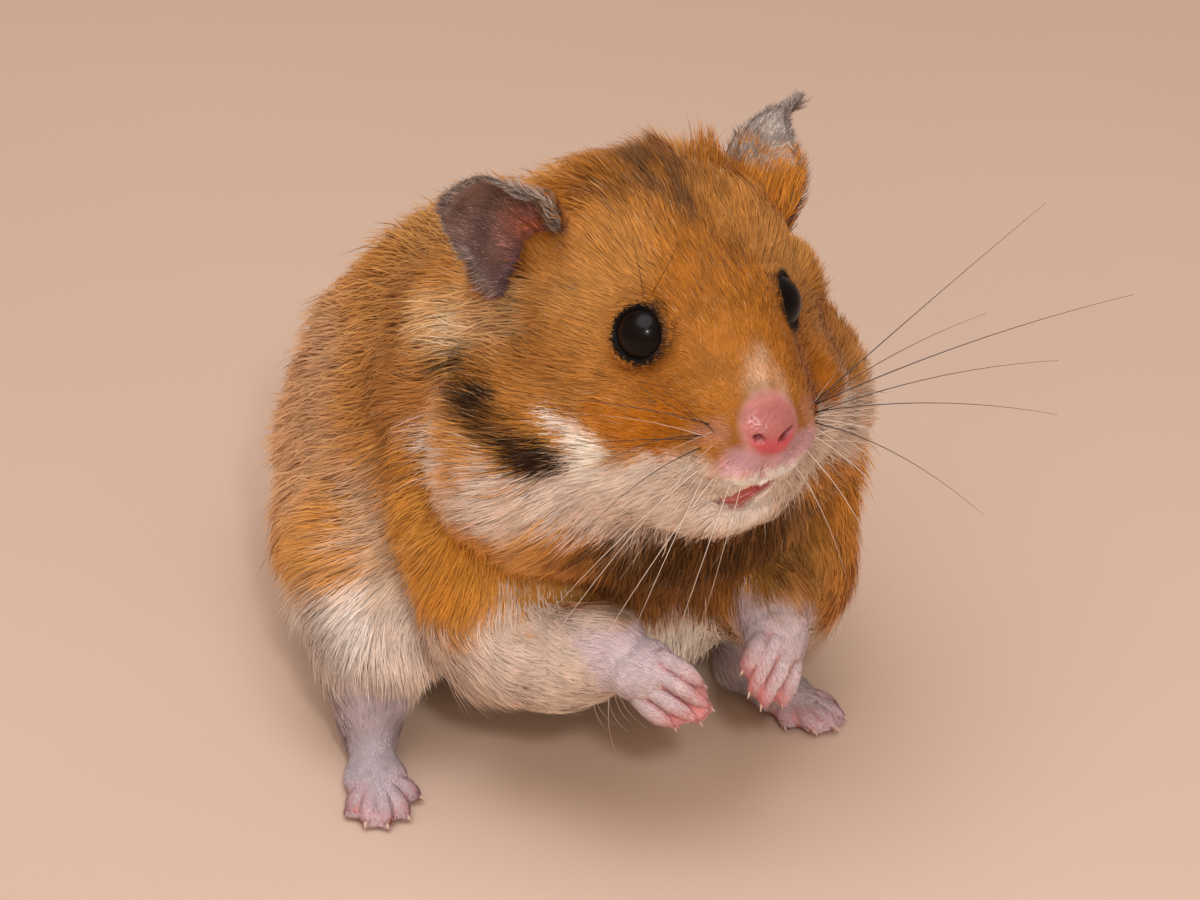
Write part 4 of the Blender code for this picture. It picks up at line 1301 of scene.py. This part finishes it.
BLACK = (
    ((6.4, -10.2, -6.4), (0, 2.0, -1.5), (33.0, -11.4, 10.3), 0.075),
    ((6.8, -9.8, -6.9), (0, 1.2, 1.2), (38.2, -20.4, 2.5), 0.080),
    ((6.2, -10.6, -7.4), (0, 0.5, 2.0), (29.3, -20.2, -2.9), 0.070),
    ((6.9, -9.6, -7.9), (0, 0.4, 2.2), (28.0, -22.4, -7.8), 0.070),
    ((6.2, -10.3, -8.6), (0, 0.6, 3.0), (18.4, -24.0, -16.1), 0.070),
    ((7.2, -9.2, -7.2), (0, 1.0, 1.0), (31.0, -4.5, -5.0), 0.060),
    ((-6.0, -10.2, -5.6), (-1.0, -0.6, 1.6), (-18.4, -1.8, -3.4), 0.070),
    ((-6.6, -9.9, -6.9), (-1.0, -0.5, 2.4), (-16.9, -7.1, -9.0), 0.075),
    ((-6.3, -10.2, -7.9), (-0.8, -0.5, 2.4), (-20.0, -9.9, -14.0), 0.075),
    ((-5.6, -10.6, -6.4), (-0.5, -0.6, 0.6), (-11.0, -4.6, -0.6), 0.045),
    ((-6.9, -9.4, -5.4), (-0.5, -0.6, 0.6), (-12.4, -4.2, -1.6), 0.045),
    ((-7.2, -9.4, -7.4), (-1.0, -0.5, 2.0), (-27.0, -4.0, -7.0), 0.055),
)
PALE = (
    ((-6.4, -9.8, -9.0), (-1.0, -1.5, 3.0), (-26.3, -5.2, -34.5), 0.050),
    ((-5.4, -10.2, -9.6), (-0.8, -1.5, 2.5), (-21.6, -6.0, -24.7), 0.060),
    ((-4.6, -10.8, -10.4), (-0.6, -1.5, 2.5), (-19.4, -11.2, -27.3), 0.065),
    ((-5.8, -9.8, -10.6), (-0.5, -1.5, 2.0), (-16.6, -13.6, -24.8), 0.060),
    ((-3.6, -11.2, -11.2), (-0.4, -1.5, 2.0), (-13.4, -16.0, -26.3), 0.055),
    ((-2.6, -11.6, -11.4), (-0.2, -1.2, 2.0), (-9.0, -15.0, -24.0), 0.045),
    ((5.6, -10.2, -9.6), (0.8, -1.5, 2.5), (17.6, -13.0, -24.7), 0.055),
    ((4.6, -10.8, -10.6), (0.6, -1.5, 2.5), (12.4, -16.2, -27.3), 0.050),
    ((6.6, -9.6, -8.6), (0.8, -1.0, 3.0), (24.0, -10.0, -20.0), 0.050),
    ((3.0, -11.4, -11.6), (0.3, -1.2, 2.0), (7.5, -15.6, -25.0), 0.045),
)
blacks = [whisker(*row) for row in BLACK]
for side in (-1, 1):
    blacks.append(whisker((side * 6.4, 0.6, 4.6), (0, -0.6, 0.6), (side * 5.0, -3.4, 13.0), 0.04))
    blacks.append(whisker((side * 7.4, 0.8, 4.4), (0, -0.6, 0.6), (side * 9.6, 0.4, 13.6), 0.035))
pales = [whisker(*row) for row in PALE]
for number in range(26):
    side = 1 if number % 2 else -1
    start = np.array((side * chance.uniform(3.0, 7.5), -10.2 + chance.uniform(-0.6, 1.2), chance.uniform(-11.0, -6.5)))
    reach = chance.uniform(8, 17)
    aim = unit(np.array((side * chance.uniform(0.5, 1.0), chance.uniform(-0.35, 0.5), chance.uniform(-1.1, 0.15))))
    pales.append(whisker(start, (0, -0.6, 1.2), start + aim * reach, 0.03))
for side, wrist in (("right", (-9.2, -36.6, 21.8)), ("left", (12.0, -34.4, 20.6))):
    for number in range(6):
        start = np.array(wrist) + chance.normal(0, 0.8, 3)
        end = start + np.array((chance.uniform(0, 5), chance.uniform(-3, 2), -chance.uniform(6, 10)))
        pales.append(whisker(start, (-1.5, -0.5, -1.0), end, 0.028, on=np.array))
tube_piece("black_whiskers", black_whisker, blacks)
tube_piece("pale_whiskers", pale_whisker, pales)
